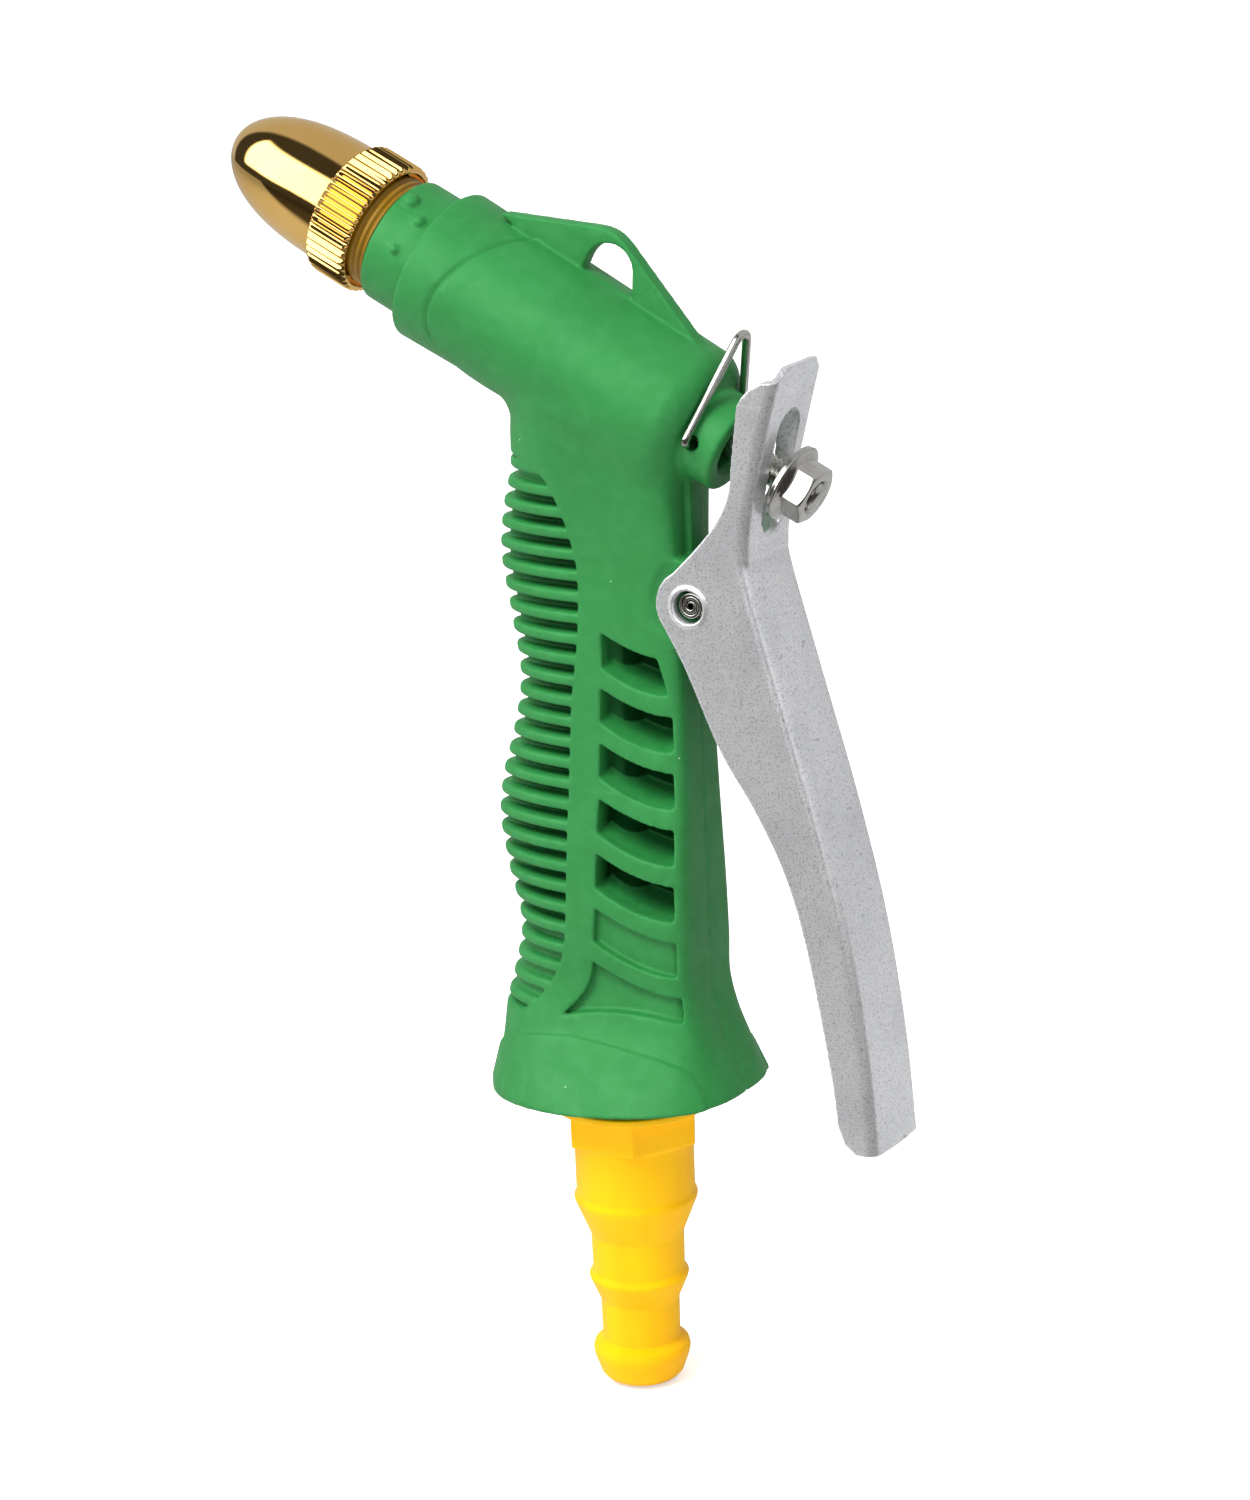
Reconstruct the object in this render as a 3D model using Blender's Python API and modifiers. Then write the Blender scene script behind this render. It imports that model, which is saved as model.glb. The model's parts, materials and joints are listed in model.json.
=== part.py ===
"""Hose spray nozzle with a rear lever, a screw-on bullet tip and a barbed hose tail.

Frame: +Z runs up the grip, the nozzle points to -X, the lever is at +X, and Y = 0 is the plane of symmetry.
The origin is on the hose tail's axis at its lower end. Lengths are in millimetres until MM scales them.
"""

import math

import bmesh
import bpy
from mathutils import Matrix, Vector

MM = 0.001
GAP = 0.3

# Barrel axis: a point on it, and its rise towards the nozzle
BARREL_X, BARREL_Z = 1.0, 158.8
BARREL_RISE = math.radians(26.0)

# Barrel stations, measured along the axis from that point towards the nozzle
BOSS_END = -23.3
DOME_END = -18.0
BAIL_HOLE_AT = -18.9
GLAND_SEAT = -9.0
SPIGOT_SEAT = 28.3
SLEEVE_FRONT = 31.1
COLLAR_FRONT = 39.0
NOZZLE_REAR = 41.7
KNURL_FRONT = 50.0
NOZZLE_TIP = 70.6

COLLAR_R = 9.65
SLEEVE_R = 12.3
BARREL_REAR_R = 11.0
BOSS_R = 7.0
SOCKET_R = 7.5
CHAMBER_R = 5.2
GLAND_R, GLAND_END = 4.6, -15.0
REAR_HOLE_R, BAIL_HOLE_R = 3.8, 1.0
DOME_ROUND = 4.0
KNURL_R = 10.5
NOZZLE_R = 9.35

# Grip, by height: front, centre of the front curve, half thickness, rear and squareness of the rear
GRIP_LEVELS = (
    (156.0, -14.2, -2.0, 10.4, 14.0, 4.0),
    (150.0, -15.0, -2.5, 9.6, 14.2, 5.0),
    (144.0, -15.6, -3.0, 8.4, 14.2, 6.0),
    (138.0, -17.4, -3.0, 7.2, 14.2, 7.0),
    (131.0, -18.5, -3.0, 6.2, 14.2, 8.0),
    (121.0, -17.2, -3.0, 5.8, 14.0, 8.0),
    (111.5, -16.0, -3.0, 5.8, 13.9, 8.0),
    (103.0, -17.7, -3.0, 5.9, 14.0, 8.0),
    (96.0, -19.9, -3.0, 6.2, 14.1, 8.0),
    (89.5, -20.8, -3.0, 6.9, 14.2, 8.0),
    (82.0, -19.7, -3.0, 7.4, 14.3, 8.0),
    (72.0, -17.6, -3.0, 8.0, 14.3, 8.0),
    (66.0, -19.0, -3.0, 8.4, 14.8, 7.0),
    (60.0, -20.7, -2.6, 9.6, 16.3, 5.5),
    (54.0, -21.4, -0.5, 12.4, 18.8, 3.6),
    (48.0, -22.8, 3.0, 16.0, 21.4, 2.6),
)
BOTTOM_SLOPE = 0.1
SECTION_POINTS = 28
LEVEL_STEP = 5.0

RIB_TOP, RIB_PITCH, RIB_THICK, RIB_COUNT = 141.6, 3.196, 1.7, 26
RIB_DEPTH = 3.0

# Windows of the side panels, numbered from the top
WINDOW_TOP, WINDOW_PITCH, WINDOW_COUNT = 120.7, 8.45, 7
WINDOW_LEFT, WINDOW_RIGHT, WINDOW_HEIGHT, WINDOW_FALL = 1.5, 13.0, 5.3, 0.28
OPEN_WINDOWS, SHALLOW_DEPTH, POCKET_WALL = 5, 1.4, 1.0
TUBE_R, WATER_R = 4.75, 3.2

FIN_THICK = 2.4
LUG_HALF, LUG_R = 5.6, 5.0
REAR_RIB_X, REAR_RIB_TOP, REAR_RIB_BOTTOM, REAR_RIB_HALF = 15.0, 148.0, 131.0, 2.0

# Lever: pressed sheet
PIVOT_X, PIVOT_Z = 17.1, 126.3
LEVER_HALF, SHEET = 7.2, 1.2
EAR_R, EAR_HOLE_R, PIN_R, PIN_HALF = 5.4, 2.4, 2.0, 6.5
SLOT_HALF_WIDTH, SLOT_TOP, SLOT_BOTTOM = 3.15, 155.1, 136.6
LEVER_TOP = 160.6

# Wire bail
BAIL_WIRE_R, BAIL_LEAN, BAIL_HEIGHT = 0.65, math.radians(20.6), 15.6
BAIL_FOOT_Y, BAIL_APEX_Y = 8.6, 1.0

# Stem
STEM_R, STEM_END, STEM_FRONT, THREAD_FROM = 2.0, -38.2, 26.0, -24.5
NUT_AT, NUT_FLANGE_R, NUT_FLAT, NUT_LENGTH = -32.6, 5.9, 8.0, 5.0
SPRING_WIRE_R, SPRING_R, SPRING_TURNS = 0.4, 3.6, 8.0
SPRING_REAR, SPRING_FRONT = -8.0, 15.0
CLIP_AT = SPRING_FRONT + 1.2

# Hose tail
TAIL_HEX_R, TAIL_HEX_TOP, TAIL_HEX_BOTTOM = 10.86, 44.4, 39.7
TAIL_FLANGE_R, TAIL_FLANGE_TOP = 13.0, 45.6
TAIL_BORE_R, TAIL_SPIGOT_R, TAIL_SPIGOT_TOP = 4.2, 7.4, 56.0
TAIL_WASHER = 2.0

PARTS = None
CUTTERS = None


def clear_scene():
    for obj in list(bpy.data.objects):
        bpy.data.objects.remove(obj)


def new_collection(name):
    collection = bpy.data.collections.new(name)
    bpy.context.scene.collection.children.link(collection)
    return collection


def material(name, colour, roughness, metallic=0.0):
    made = bpy.data.materials.get(name)
    if made:
        return made
    made = bpy.data.materials.new(name)
    made.use_nodes = True
    shader = made.node_tree.nodes["Principled BSDF"]
    shader.inputs["Base Color"].default_value = (*colour, 1.0)
    shader.inputs["Roughness"].default_value = roughness
    shader.inputs["Metallic"].default_value = metallic
    return made


def green_plastic():
    return material("green_plastic", (0.055, 0.34, 0.09), 0.42)


def yellow_plastic():
    return material("yellow_plastic", (0.98, 0.66, 0.008), 0.38)


def gold_plate():
    return material("gold_plate", (0.93, 0.66, 0.22), 0.12, 1.0)


def amber_plastic():
    return material("amber_plastic", (0.5, 0.24, 0.02), 0.35)


def zinc_steel():
    return material("zinc_steel", (0.56, 0.56, 0.57), 0.38, 1.0)


def bright_steel():
    return material("bright_steel", (0.72, 0.72, 0.7), 0.25, 1.0)


def brass():
    return material("brass", (0.72, 0.5, 0.2), 0.3, 1.0)


def black_rubber():
    return material("black_rubber", (0.02, 0.02, 0.02), 0.7)


def white_plastic():
    return material("white_plastic", (0.75, 0.74, 0.7), 0.45)


def barrel_matrix(station=0.0):
    """Local +Z along the barrel towards the nozzle, local Y kept, origin at the station."""
    forward = Vector((-math.cos(BARREL_RISE), 0.0, math.sin(BARREL_RISE)))
    side = Vector((0.0, 1.0, 0.0))
    across = side.cross(forward)
    place = Vector((BARREL_X, 0.0, BARREL_Z)) + forward * station
    rotation = Matrix((across, side, forward)).transposed().to_4x4()
    return Matrix.Translation(place * MM) @ rotation


def on_barrel(station, above=0.0):
    """(x, z) in millimetres of a point on the barrel's plane of symmetry."""
    x = BARREL_X - station * math.cos(BARREL_RISE) + above * math.sin(BARREL_RISE)
    z = BARREL_Z + station * math.sin(BARREL_RISE) + above * math.cos(BARREL_RISE)
    return x, z


def add_object(name, mesh, shade, helper=False):
    obj = bpy.data.objects.new(name, mesh)
    (CUTTERS if helper else PARTS).objects.link(obj)
    if helper:
        obj.hide_render = True
        obj.display_type = "WIRE"
    if shade:
        mesh.materials.append(shade)
    return obj


def mesh_from(name, build):
    """A mesh filled by build(bm), with its normals facing out."""
    bm = bmesh.new()
    build(bm)
    bmesh.ops.recalc_face_normals(bm, faces=bm.faces)
    mesh = bpy.data.meshes.new(name)
    bm.to_mesh(mesh)
    bm.free()
    return mesh


def smooth_round(obj, angle=35.0):
    obj.data.shade_smooth()
    obj.data.set_sharp_from_angle(angle=math.radians(angle))


def turned(name, profile, shade=None, helper=False, matrix=None, steps=40, closed=False):
    """A profile of (radius, height) points, down the outer side, turned about local Z."""
    mesh = bpy.data.meshes.new(name)
    points = [(radius * MM, 0.0, height * MM) for radius, height in profile]
    edges = [(i, i + 1) for i in range(len(points) - 1)]
    if closed:
        edges.append((len(points) - 1, 0))
    mesh.from_pydata(points, edges, [])
    obj = add_object(name, mesh, shade, helper)
    if matrix:
        obj.matrix_world = matrix
    screw = obj.modifiers.new("turn", "SCREW")
    screw.steps = screw.render_steps = steps
    screw.use_merge_vertices = True
    screw.merge_threshold = 1e-6
    screw.use_smooth_shade = True
    return obj


def washer(name, inner, outer, start, end, shade, matrix=None, steps=24):
    profile = [(inner, end), (outer, end), (outer, start), (inner, start)]
    return turned(name, profile, shade, matrix=matrix, steps=steps, closed=True)


def ring(name, radius, wire, station, shade, matrix):
    """An O-ring about the local Z axis."""
    profile = []
    sides = 8
    for i in range(sides):
        angle = -2 * math.pi * i / sides
        profile.append((radius + wire * math.cos(angle), station + wire * math.sin(angle)))
    return turned(name, profile, shade, matrix=matrix, steps=22, closed=True)


def prism(name, outline, half, shade=None, helper=False, low=None):
    """An outline of (x, z) points, filled and extruded along Y from low to half."""
    low = -half if low is None else low

    def build(bm):
        near = [bm.verts.new((x * MM, low * MM, z * MM)) for x, z in outline]
        face = bm.faces.new(near)
        grown = bmesh.ops.extrude_face_region(bm, geom=[face])["geom"]
        moved = [item for item in grown if isinstance(item, bmesh.types.BMVert)]
        bmesh.ops.translate(bm, verts=moved, vec=(0.0, (half - low) * MM, 0.0))

    return add_object(name, mesh_from(name, build), shade, helper)


def across_prism(name, outline, low, high):
    """A cutter from an outline of (y, z) points, extruded along X from low to high."""

    def build(bm):
        face = bm.faces.new([bm.verts.new((low * MM, y * MM, z * MM)) for y, z in outline])
        grown = bmesh.ops.extrude_face_region(bm, geom=[face])["geom"]
        moved = [item for item in grown if isinstance(item, bmesh.types.BMVert)]
        bmesh.ops.translate(bm, verts=moved, vec=((high - low) * MM, 0.0, 0.0))

    return add_object(name, mesh_from(name, build), None, True)


def rod_y(name, x, z, radius, half, shade=None, helper=False, low=None, segments=24):
    low = -half if low is None else low

    def build(bm):
        bmesh.ops.create_cone(
            bm,
            cap_ends=True,
            segments=segments,
            radius1=radius * MM,
            radius2=radius * MM,
            depth=(half - low) * MM,
            matrix=Matrix.Rotation(math.pi / 2, 4, "X"),
        )

    obj = add_object(name, mesh_from(name, build), shade, helper)
    obj.location = (x * MM, (half + low) / 2 * MM, z * MM)
    return obj


def combine(obj, other, operation, solver="EXACT"):
    change = obj.modifiers.new(operation.lower() + "_" + other.name, "BOOLEAN")
    change.operation = operation
    change.object = other
    change.solver = solver


def smooth_path(points, steps=4):
    """Points on a smooth curve through the given ones."""
    padded = [points[0], *points, points[-1]]
    path = []
    for a, b, c, d in zip(padded, padded[1:], padded[2:], padded[3:]):
        for i in range(steps):
            t = i / steps
            path.append(
                tuple(
                    0.5
                    * (
                        2 * q
                        + (r - p) * t
                        + (2 * p - 5 * q + 4 * r - s) * t**2
                        + (3 * q - p - 3 * r + s) * t**3
                    )
                    for p, q, r, s in zip(a, b, c, d)
                )
            )
    path.append(tuple(points[-1]))
    return path


def arc(x, z, radius, start, end, steps):
    """Points of an arc, with its angles in degrees."""
    angles = [math.radians(start + (end - start) * i / steps) for i in range(steps + 1)]
    return [(x + radius * math.cos(angle), z + radius * math.sin(angle)) for angle in angles]


def grip_at(z):
    """Front, centre, half thickness, rear and squareness at a height, smooth between the levels."""
    levels = GRIP_LEVELS
    z = min(max(z, levels[-1][0]), levels[0][0])
    for i in range(len(levels) - 1):
        if levels[i][0] >= z >= levels[i + 1][0]:
            break
    before, after = levels[max(i - 1, 0)], levels[min(i + 2, len(levels) - 1)]
    here, there = levels[i], levels[i + 1]
    t = (here[0] - z) / (here[0] - there[0])
    found = []
    for k in range(1, 6):
        enter = (there[k] - before[k]) / (before[0] - there[0]) * (here[0] - there[0])
        leave = (after[k] - here[k]) / (here[0] - after[0]) * (here[0] - there[0])
        rise = there[k] - here[k]
        found.append(
            here[k]
            + enter * t
            + (3 * rise - 2 * enter - leave) * t**2
            + (enter + leave - 2 * rise) * t**3
        )
    return found


def grip_section(z, inset=0.0):
    """A closed section of the grip: an ellipse in front and a squarer curve behind."""
    front, centre, half, rear, square = grip_at(z)
    points = []
    for i in range(SECTION_POINTS):
        angle = 2 * math.pi * (i + 0.5) / SECTION_POINTS
        power = 1.0 if math.cos(angle) < 0 else 2.0 / square
        reach = (centre - front) if math.cos(angle) < 0 else (rear - centre)
        x = centre + (reach - inset) * math.copysign(abs(math.cos(angle)) ** power, math.cos(angle))
        y = (half - inset) * math.copysign(abs(math.sin(angle)) ** power, math.sin(angle))
        points.append((x, y))
    return points


def grip_loft(name, top, bottom, inset=0.0, sloped=False, shade=None, helper=False):
    """The grip's outer surface, or that surface moved in by an inset."""
    count = max(2, round((top - bottom) / LEVEL_STEP))
    heights = [top + (bottom - top) * i / count for i in range(count + 1)]

    def build(bm):
        rows = []
        for z in heights:
            slope = BOTTOM_SLOPE if sloped and z == heights[-1] else 0.0
            section = grip_section(z, inset)
            rows.append([bm.verts.new((x * MM, y * MM, (z + slope * x) * MM)) for x, y in section])
        for upper, lower in zip(rows, rows[1:]):
            for i in range(SECTION_POINTS):
                j = (i + 1) % SECTION_POINTS
                bm.faces.new((upper[i], lower[i], lower[j], upper[j]))
        bm.faces.new(rows[0])
        bm.faces.new(rows[-1])

    return add_object(name, mesh_from(name, build), shade, helper)


def barrel_profile():
    """Outer side of the barrel from the collar's front edge to the rear boss."""
    dome = arc(BARREL_REAR_R - DOME_ROUND, DOME_END + DOME_ROUND + 0.5, DOME_ROUND, 0, -90, 5)
    return [
        (0.0, COLLAR_FRONT),
        (COLLAR_R - 0.6, COLLAR_FRONT),
        (COLLAR_R, COLLAR_FRONT - 0.8),
        (COLLAR_R + 0.1, SLEEVE_FRONT),
        (SLEEVE_R - 0.3, SLEEVE_FRONT),
        (SLEEVE_R, SLEEVE_FRONT - 0.5),
        *dome,
        (BOSS_R, DOME_END + 0.2),
        (BOSS_R, BOSS_END + 0.4),
        (BOSS_R - 0.4, BOSS_END),
        (0.0, BOSS_END),
    ]


def barrel_bore():
    """Everything hollow along the barrel: spigot socket, valve chamber, gland bore and rear hole."""
    profile = [
        (0.0, COLLAR_FRONT + 1.0),
        (SOCKET_R, COLLAR_FRONT + 1.0),
        (SOCKET_R, SPIGOT_SEAT),
        (CHAMBER_R, SPIGOT_SEAT),
        (CHAMBER_R, GLAND_SEAT),
        (GLAND_R, GLAND_SEAT),
        (GLAND_R, GLAND_END),
        (REAR_HOLE_R, GLAND_END),
        (REAR_HOLE_R, BOSS_END - 1.0),
        (0.0, BOSS_END - 1.0),
    ]
    return turned("cut_barrel_bore", profile, helper=True, matrix=barrel_matrix(), steps=32)


def tail_bore():
    """The hose tail's socket and the water way up to the valve chamber."""
    socket_top = TAIL_SPIGOT_TOP + TAIL_WASHER + 2 * GAP
    below = TAIL_HEX_BOTTOM
    profile = [
        (0.0, BARREL_Z),
        (WATER_R, BARREL_Z),
        (WATER_R, socket_top),
        (TAIL_SPIGOT_R + GAP, socket_top),
        (TAIL_SPIGOT_R + GAP, below),
        (0.0, below),
    ]
    return turned("cut_tail_bore", profile, helper=True, steps=32)


def fin_outline():
    front_x, front_z = on_barrel(19.0, SLEEVE_R - 0.9)
    return [
        (front_x, front_z),
        (-15.9, 180.9),
        (2.6, 179.3),
        (5.0, 178.6),
        (6.6, 176.9),
        (17.4, 162.6),
        (15.0, 158.0),
        (0.0, 160.0),
    ]


def fin_hole_outline():
    """A round-topped eye with a flat lower edge along the barrel."""
    return [(-2.2, 173.4), (5.9, 169.5), *arc(2.3, 173.3, 4.0, 0, 150, 7)]


def rib_zone_outline():
    """The stretch of the front that carries the finger ribs, seen from the side."""
    edge = smooth_path(
        [
            (-12.8, 146.5),
            (-9.0, 143.6),
            (-5.2, 138.2),
            (-3.4, 132.0),
            (-3.4, 122.0),
            (-4.3, 108.0),
            (-5.3, 92.0),
            (-5.9, 80.0),
            (-7.4, 71.5),
            (-11.0, 64.3),
            (-14.6, 60.2),
        ],
        2,
    )
    return [(-30.0, 146.5), *edge, (-30.0, 60.2)]


def finger_grooves():
    """The gaps between the ribs, down to the inner wall of the grip."""
    step = RIB_PITCH
    width = RIB_PITCH - RIB_THICK

    def build(bm):
        for i in range(-1, RIB_COUNT):
            middle = RIB_TOP - (i + 0.5) * step
            bmesh.ops.create_cube(
                bm,
                size=1.0,
                matrix=Matrix.Translation(Vector((-14.0, 0.0, middle)) * MM)
                @ Matrix.Diagonal((34.0 * MM, 40.0 * MM, width * MM, 1.0)),
            )

    slabs = add_object("cut_finger_grooves", mesh_from("cut_finger_grooves", build), None, True)
    zone = prism("guide_rib_zone", rib_zone_outline(), 19.0, helper=True)
    core = grip_loft("guide_grip_core", 152.0, 55.0, inset=RIB_DEPTH, helper=True)
    combine(slabs, zone, "INTERSECT")
    combine(slabs, core, "DIFFERENCE")
    return slabs


def window_outline(index):
    """A slanted window of the side panel, wider towards the foot of the grip."""
    top = WINDOW_TOP - index * WINDOW_PITCH
    left = WINDOW_LEFT - 0.38 * index
    right = WINDOW_RIGHT + 0.4 * max(0, index + 1 - OPEN_WINDOWS)
    fall = (right - left) * WINDOW_FALL
    height = WINDOW_HEIGHT
    if index == 0:
        return [(left, top), (10.8, top - 3.0), (12.4, top - 8.4), (left - 0.6, top - height)]
    if index == WINDOW_COUNT - 1:
        return [(left, top), (right, top - fall), (right + 0.8, top - 7.0), (left - 4.4, top - 8.0)]
    return [(left, top), (right, top - fall), (right, top - fall - height), (left - 0.4, top - height)]


def windows():
    """Pockets in both sides: the upper ones show the water tube, the last ones are shallow."""
    cutters = []
    tube = turned(
        "guide_water_tube",
        [(0.0, 150.0), (TUBE_R, 150.0), (TUBE_R, 50.0), (0.0, 50.0)],
        helper=True,
        steps=28,
    )
    for index in range(WINDOW_COUNT):
        outline = window_outline(index)
        half = grip_at(outline[0][1])[2]
        low = POCKET_WALL if index < OPEN_WINDOWS else half - SHALLOW_DEPTH
        for side, name in ((1, "left"), (-1, "right")):
            ends = sorted((side * low, side * 19.0))
            label = f"cut_window_{index}_{name}"
            cutter = prism(label, outline, ends[1], helper=True, low=ends[0])
            if index < OPEN_WINDOWS:
                combine(cutter, tube, "DIFFERENCE")
            cutters.append(cutter)
    return cutters


def ear_recesses():
    """Flat clearances for the lever's ears on both sides of the lug."""
    clearance, beyond = 1.4, 12.0
    outline = arc(PIVOT_X, PIVOT_Z, EAR_R + clearance, 0, 360, 24)[:-1]
    return [
        prism("cut_ear_left", outline, beyond, helper=True, low=LUG_HALF),
        prism("cut_ear_right", outline, -LUG_HALF, helper=True, low=-beyond),
    ]


def lug_outline():
    lower = arc(PIVOT_X, PIVOT_Z, LUG_R, -60, 60, 8)
    return [(8.0, 119.0), (13.0, 119.0), *lower, (17.4, 132.4), (14.0, 133.2), (8.0, 133.2)]


def make_body():
    body = turned("body", barrel_profile(), green_plastic(), matrix=barrel_matrix(), steps=36)
    combine(body, grip_loft("add_grip", 156.0, 48.0, sloped=True, helper=True), "UNION")
    combine(body, prism("add_fin", fin_outline(), FIN_THICK / 2, helper=True), "UNION")
    combine(body, prism("add_lug", lug_outline(), LUG_HALF - 0.1, helper=True), "UNION")
    inner = REAR_RIB_X - 6.0
    rib = [(inner, REAR_RIB_BOTTOM), (REAR_RIB_X, REAR_RIB_BOTTOM)]
    rib += [(REAR_RIB_X, REAR_RIB_TOP), (inner, REAR_RIB_TOP)]
    combine(body, prism("add_rear_rib", rib, REAR_RIB_HALF, helper=True), "UNION")
    hole_x, hole_z = on_barrel(BAIL_HOLE_AT)
    cuts = [
        finger_grooves(),
        *windows(),
        *ear_recesses(),
        barrel_bore(),
        tail_bore(),
        prism("cut_fin_eye", fin_hole_outline(), 6.0, helper=True),
        rod_y("cut_pin_hole", PIVOT_X, PIVOT_Z, PIN_R + GAP, 12.0, helper=True),
        rod_y("cut_bail_hole", hole_x, hole_z, BAIL_HOLE_R, 12.0, helper=True, segments=16),
    ]
    for cut in cuts:
        combine(body, cut, "DIFFERENCE")
    return body


def nozzle_outline(station):
    """Radius of the bullet at a station in front of the knurl."""
    along = (station - KNURL_FRONT) / (NOZZLE_TIP + 0.5 - KNURL_FRONT)
    return NOZZLE_R * math.sqrt(max(0.0, 1.0 - along**2.6))


def make_nozzle_head():
    steps = 9
    reach = NOZZLE_TIP - KNURL_FRONT
    bullet = []
    for i in range(steps + 1):
        station = NOZZLE_TIP - reach * (i / steps) ** 1.6
        bullet.append((nozzle_outline(station), station))
    profile = [
        (1.2, NOZZLE_TIP),
        *bullet,
        (KNURL_R - 0.5, KNURL_FRONT - 0.1),
        (KNURL_R, KNURL_FRONT - 0.6),
        (KNURL_R, NOZZLE_REAR + 0.5),
        (KNURL_R - 0.4, NOZZLE_REAR),
        (9.4, NOZZLE_REAR),
        (9.4, NOZZLE_REAR + 3.0),
        (8.2, NOZZLE_REAR + 3.0),
        (8.2, 55.0),
        (6.9, 56.5),
        (1.2, 68.0),
    ]
    return turned(
        "nozzle_head", profile, gold_plate(), matrix=barrel_matrix(), steps=32, closed=True
    )


def make_spigot():
    profile = [
        (5.6, 55.0),
        (6.8, 55.0),
        (6.8, 50.0),
        (7.8, 49.6),
        (7.8, 42.4),
        (8.8, 42.2),
        (8.8, 41.3),
        (8.5, 41.1),
        (8.8, 40.9),
        (8.8, 40.2),
        (8.5, 40.0),
        (8.8, 39.8),
        (8.8, COLLAR_FRONT + GAP),
        (7.2, COLLAR_FRONT + GAP),
        (7.2, SPIGOT_SEAT + 1.4),
        (3.0, SPIGOT_SEAT + 1.4),
        (3.0, 40.0),
        (5.6, 42.0),
    ]
    return turned(
        "nozzle_spigot", profile, amber_plastic(), matrix=barrel_matrix(), steps=28, closed=True
    )


def make_spray_core():
    """The fixed pin behind the outlet, on a three-armed foot pressed into the spigot."""
    matrix = barrel_matrix()
    pin = [(0.0, 66.2), (0.5, 66.2), (1.6, 62.5), (1.6, 46.5), (0.0, 46.5)]
    core = turned("spray_core", pin, brass(), matrix=matrix, steps=20)
    for i in range(3):

        def build(bm):
            bmesh.ops.create_cube(
                bm,
                size=1.0,
                matrix=Matrix.Rotation(2 * math.pi * i / 3, 4, "Z")
                @ Matrix.Translation(Vector((2.8, 0.0, 50.0)) * MM)
                @ Matrix.Diagonal((4.8 * MM, 1.2 * MM, 4.0 * MM, 1.0)),
            )

        arm = add_object(f"add_core_arm_{i}", mesh_from(f"core_arm_{i}", build), None, True)
        arm.matrix_world = matrix
        combine(core, arm, "UNION")
    return core


def make_stem():
    groove = CLIP_AT + 0.65
    profile = [
        (0.0, STEM_FRONT),
        (STEM_R, STEM_FRONT),
        (STEM_R, groove),
        (STEM_R - 0.4, groove),
        (STEM_R - 0.4, groove - 0.8),
        (STEM_R, groove - 0.8),
        (STEM_R, THREAD_FROM),
        (STEM_R - 0.15, THREAD_FROM),
        (STEM_R - 0.15, STEM_END + 0.5),
        (STEM_R - 0.6, STEM_END),
        (0.0, STEM_END),
    ]
    return turned("valve_stem", profile, bright_steel(), matrix=barrel_matrix(), steps=24)


def make_valve():
    matrix = barrel_matrix()
    plug = [
        (STEM_R + GAP, 26.6),
        (4.3, 26.6),
        (4.3, 25.4),
        (3.2, 24.6),
        (3.2, 20.6),
        (STEM_R + GAP, 20.6),
    ]
    turned("valve_plug", plug, brass(), matrix=matrix, steps=28, closed=True)
    seal = [(0.0, 29.4), (1.2, 29.4), (4.3, 27.9), (4.3, 26.9), (0.0, 26.9)]
    turned("valve_seal", seal, black_rubber(), matrix=matrix, steps=28)


def make_spigot_washer():
    start = SPIGOT_SEAT + GAP
    washer("spigot_washer", 5.6, 7.1, start, start + 0.8, black_rubber(), barrel_matrix())


def make_spring_seats():
    matrix = barrel_matrix()
    start = SPRING_FRONT + GAP
    washer("spring_collar", STEM_R + GAP, 4.8, start, start + 0.6, bright_steel(), matrix)
    washer("gland_washer", STEM_R + GAP, 4.9, GLAND_SEAT + GAP, GLAND_SEAT + 0.7, bright_steel(), matrix)


def make_retaining_clip():
    """An open clip in the stem's groove, in front of the spring collar."""
    outline = arc(0.0, 0.0, 3.3, 30, 330, 16) + arc(0.0, 0.0, 1.8, 330, 30, 12)

    def build(bm):
        low = [bm.verts.new((x * MM, y * MM, 0.0)) for x, y in outline]
        face = bm.faces.new(low)
        grown = bmesh.ops.extrude_face_region(bm, geom=[face])["geom"]
        moved = [item for item in grown if isinstance(item, bmesh.types.BMVert)]
        bmesh.ops.translate(bm, verts=moved, vec=(0.0, 0.0, 0.5 * MM))

    clip = add_object("retaining_clip", mesh_from("retaining_clip", build), bright_steel())
    clip.matrix_world = barrel_matrix(CLIP_AT)


def make_return_spring():
    """A compression spring between the gland washer and the spring collar."""
    points_per_turn = 10
    count = int(SPRING_TURNS * points_per_turn)
    low = SPRING_REAR + SPRING_WIRE_R
    high = SPRING_FRONT - SPRING_WIRE_R - 0.1
    curve = bpy.data.curves.new("return_spring", "CURVE")
    curve.dimensions = "3D"
    curve.bevel_depth = SPRING_WIRE_R * MM
    curve.bevel_resolution = 1
    curve.use_fill_caps = True
    line = curve.splines.new("POLY")
    line.points.add(count)
    for i in range(count + 1):
        angle = 2 * math.pi * i / points_per_turn
        rise = low + (high - low) * i / count
        x = SPRING_R * math.cos(angle) * MM
        y = SPRING_R * math.sin(angle) * MM
        line.points[i].co = (x, y, rise * MM, 1.0)
    curve.materials.append(bright_steel())
    spring = bpy.data.objects.new("return_spring", curve)
    PARTS.objects.link(spring)
    spring.matrix_world = barrel_matrix()


def make_gland():
    matrix = barrel_matrix()
    bush = [
        (STEM_R + GAP, -9.4),
        (4.3, -9.4),
        (4.3, -14.7),
        (STEM_R + GAP, -14.7),
        (STEM_R + GAP, -13.2),
        (3.5, -13.2),
        (3.5, -10.8),
        (STEM_R + GAP, -10.8),
    ]
    turned("gland_bush", bush, white_plastic(), matrix=matrix, steps=28, closed=True)
    ring("stem_oring", STEM_R + 0.75, 0.42, -12.0, black_rubber(), matrix)


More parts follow.
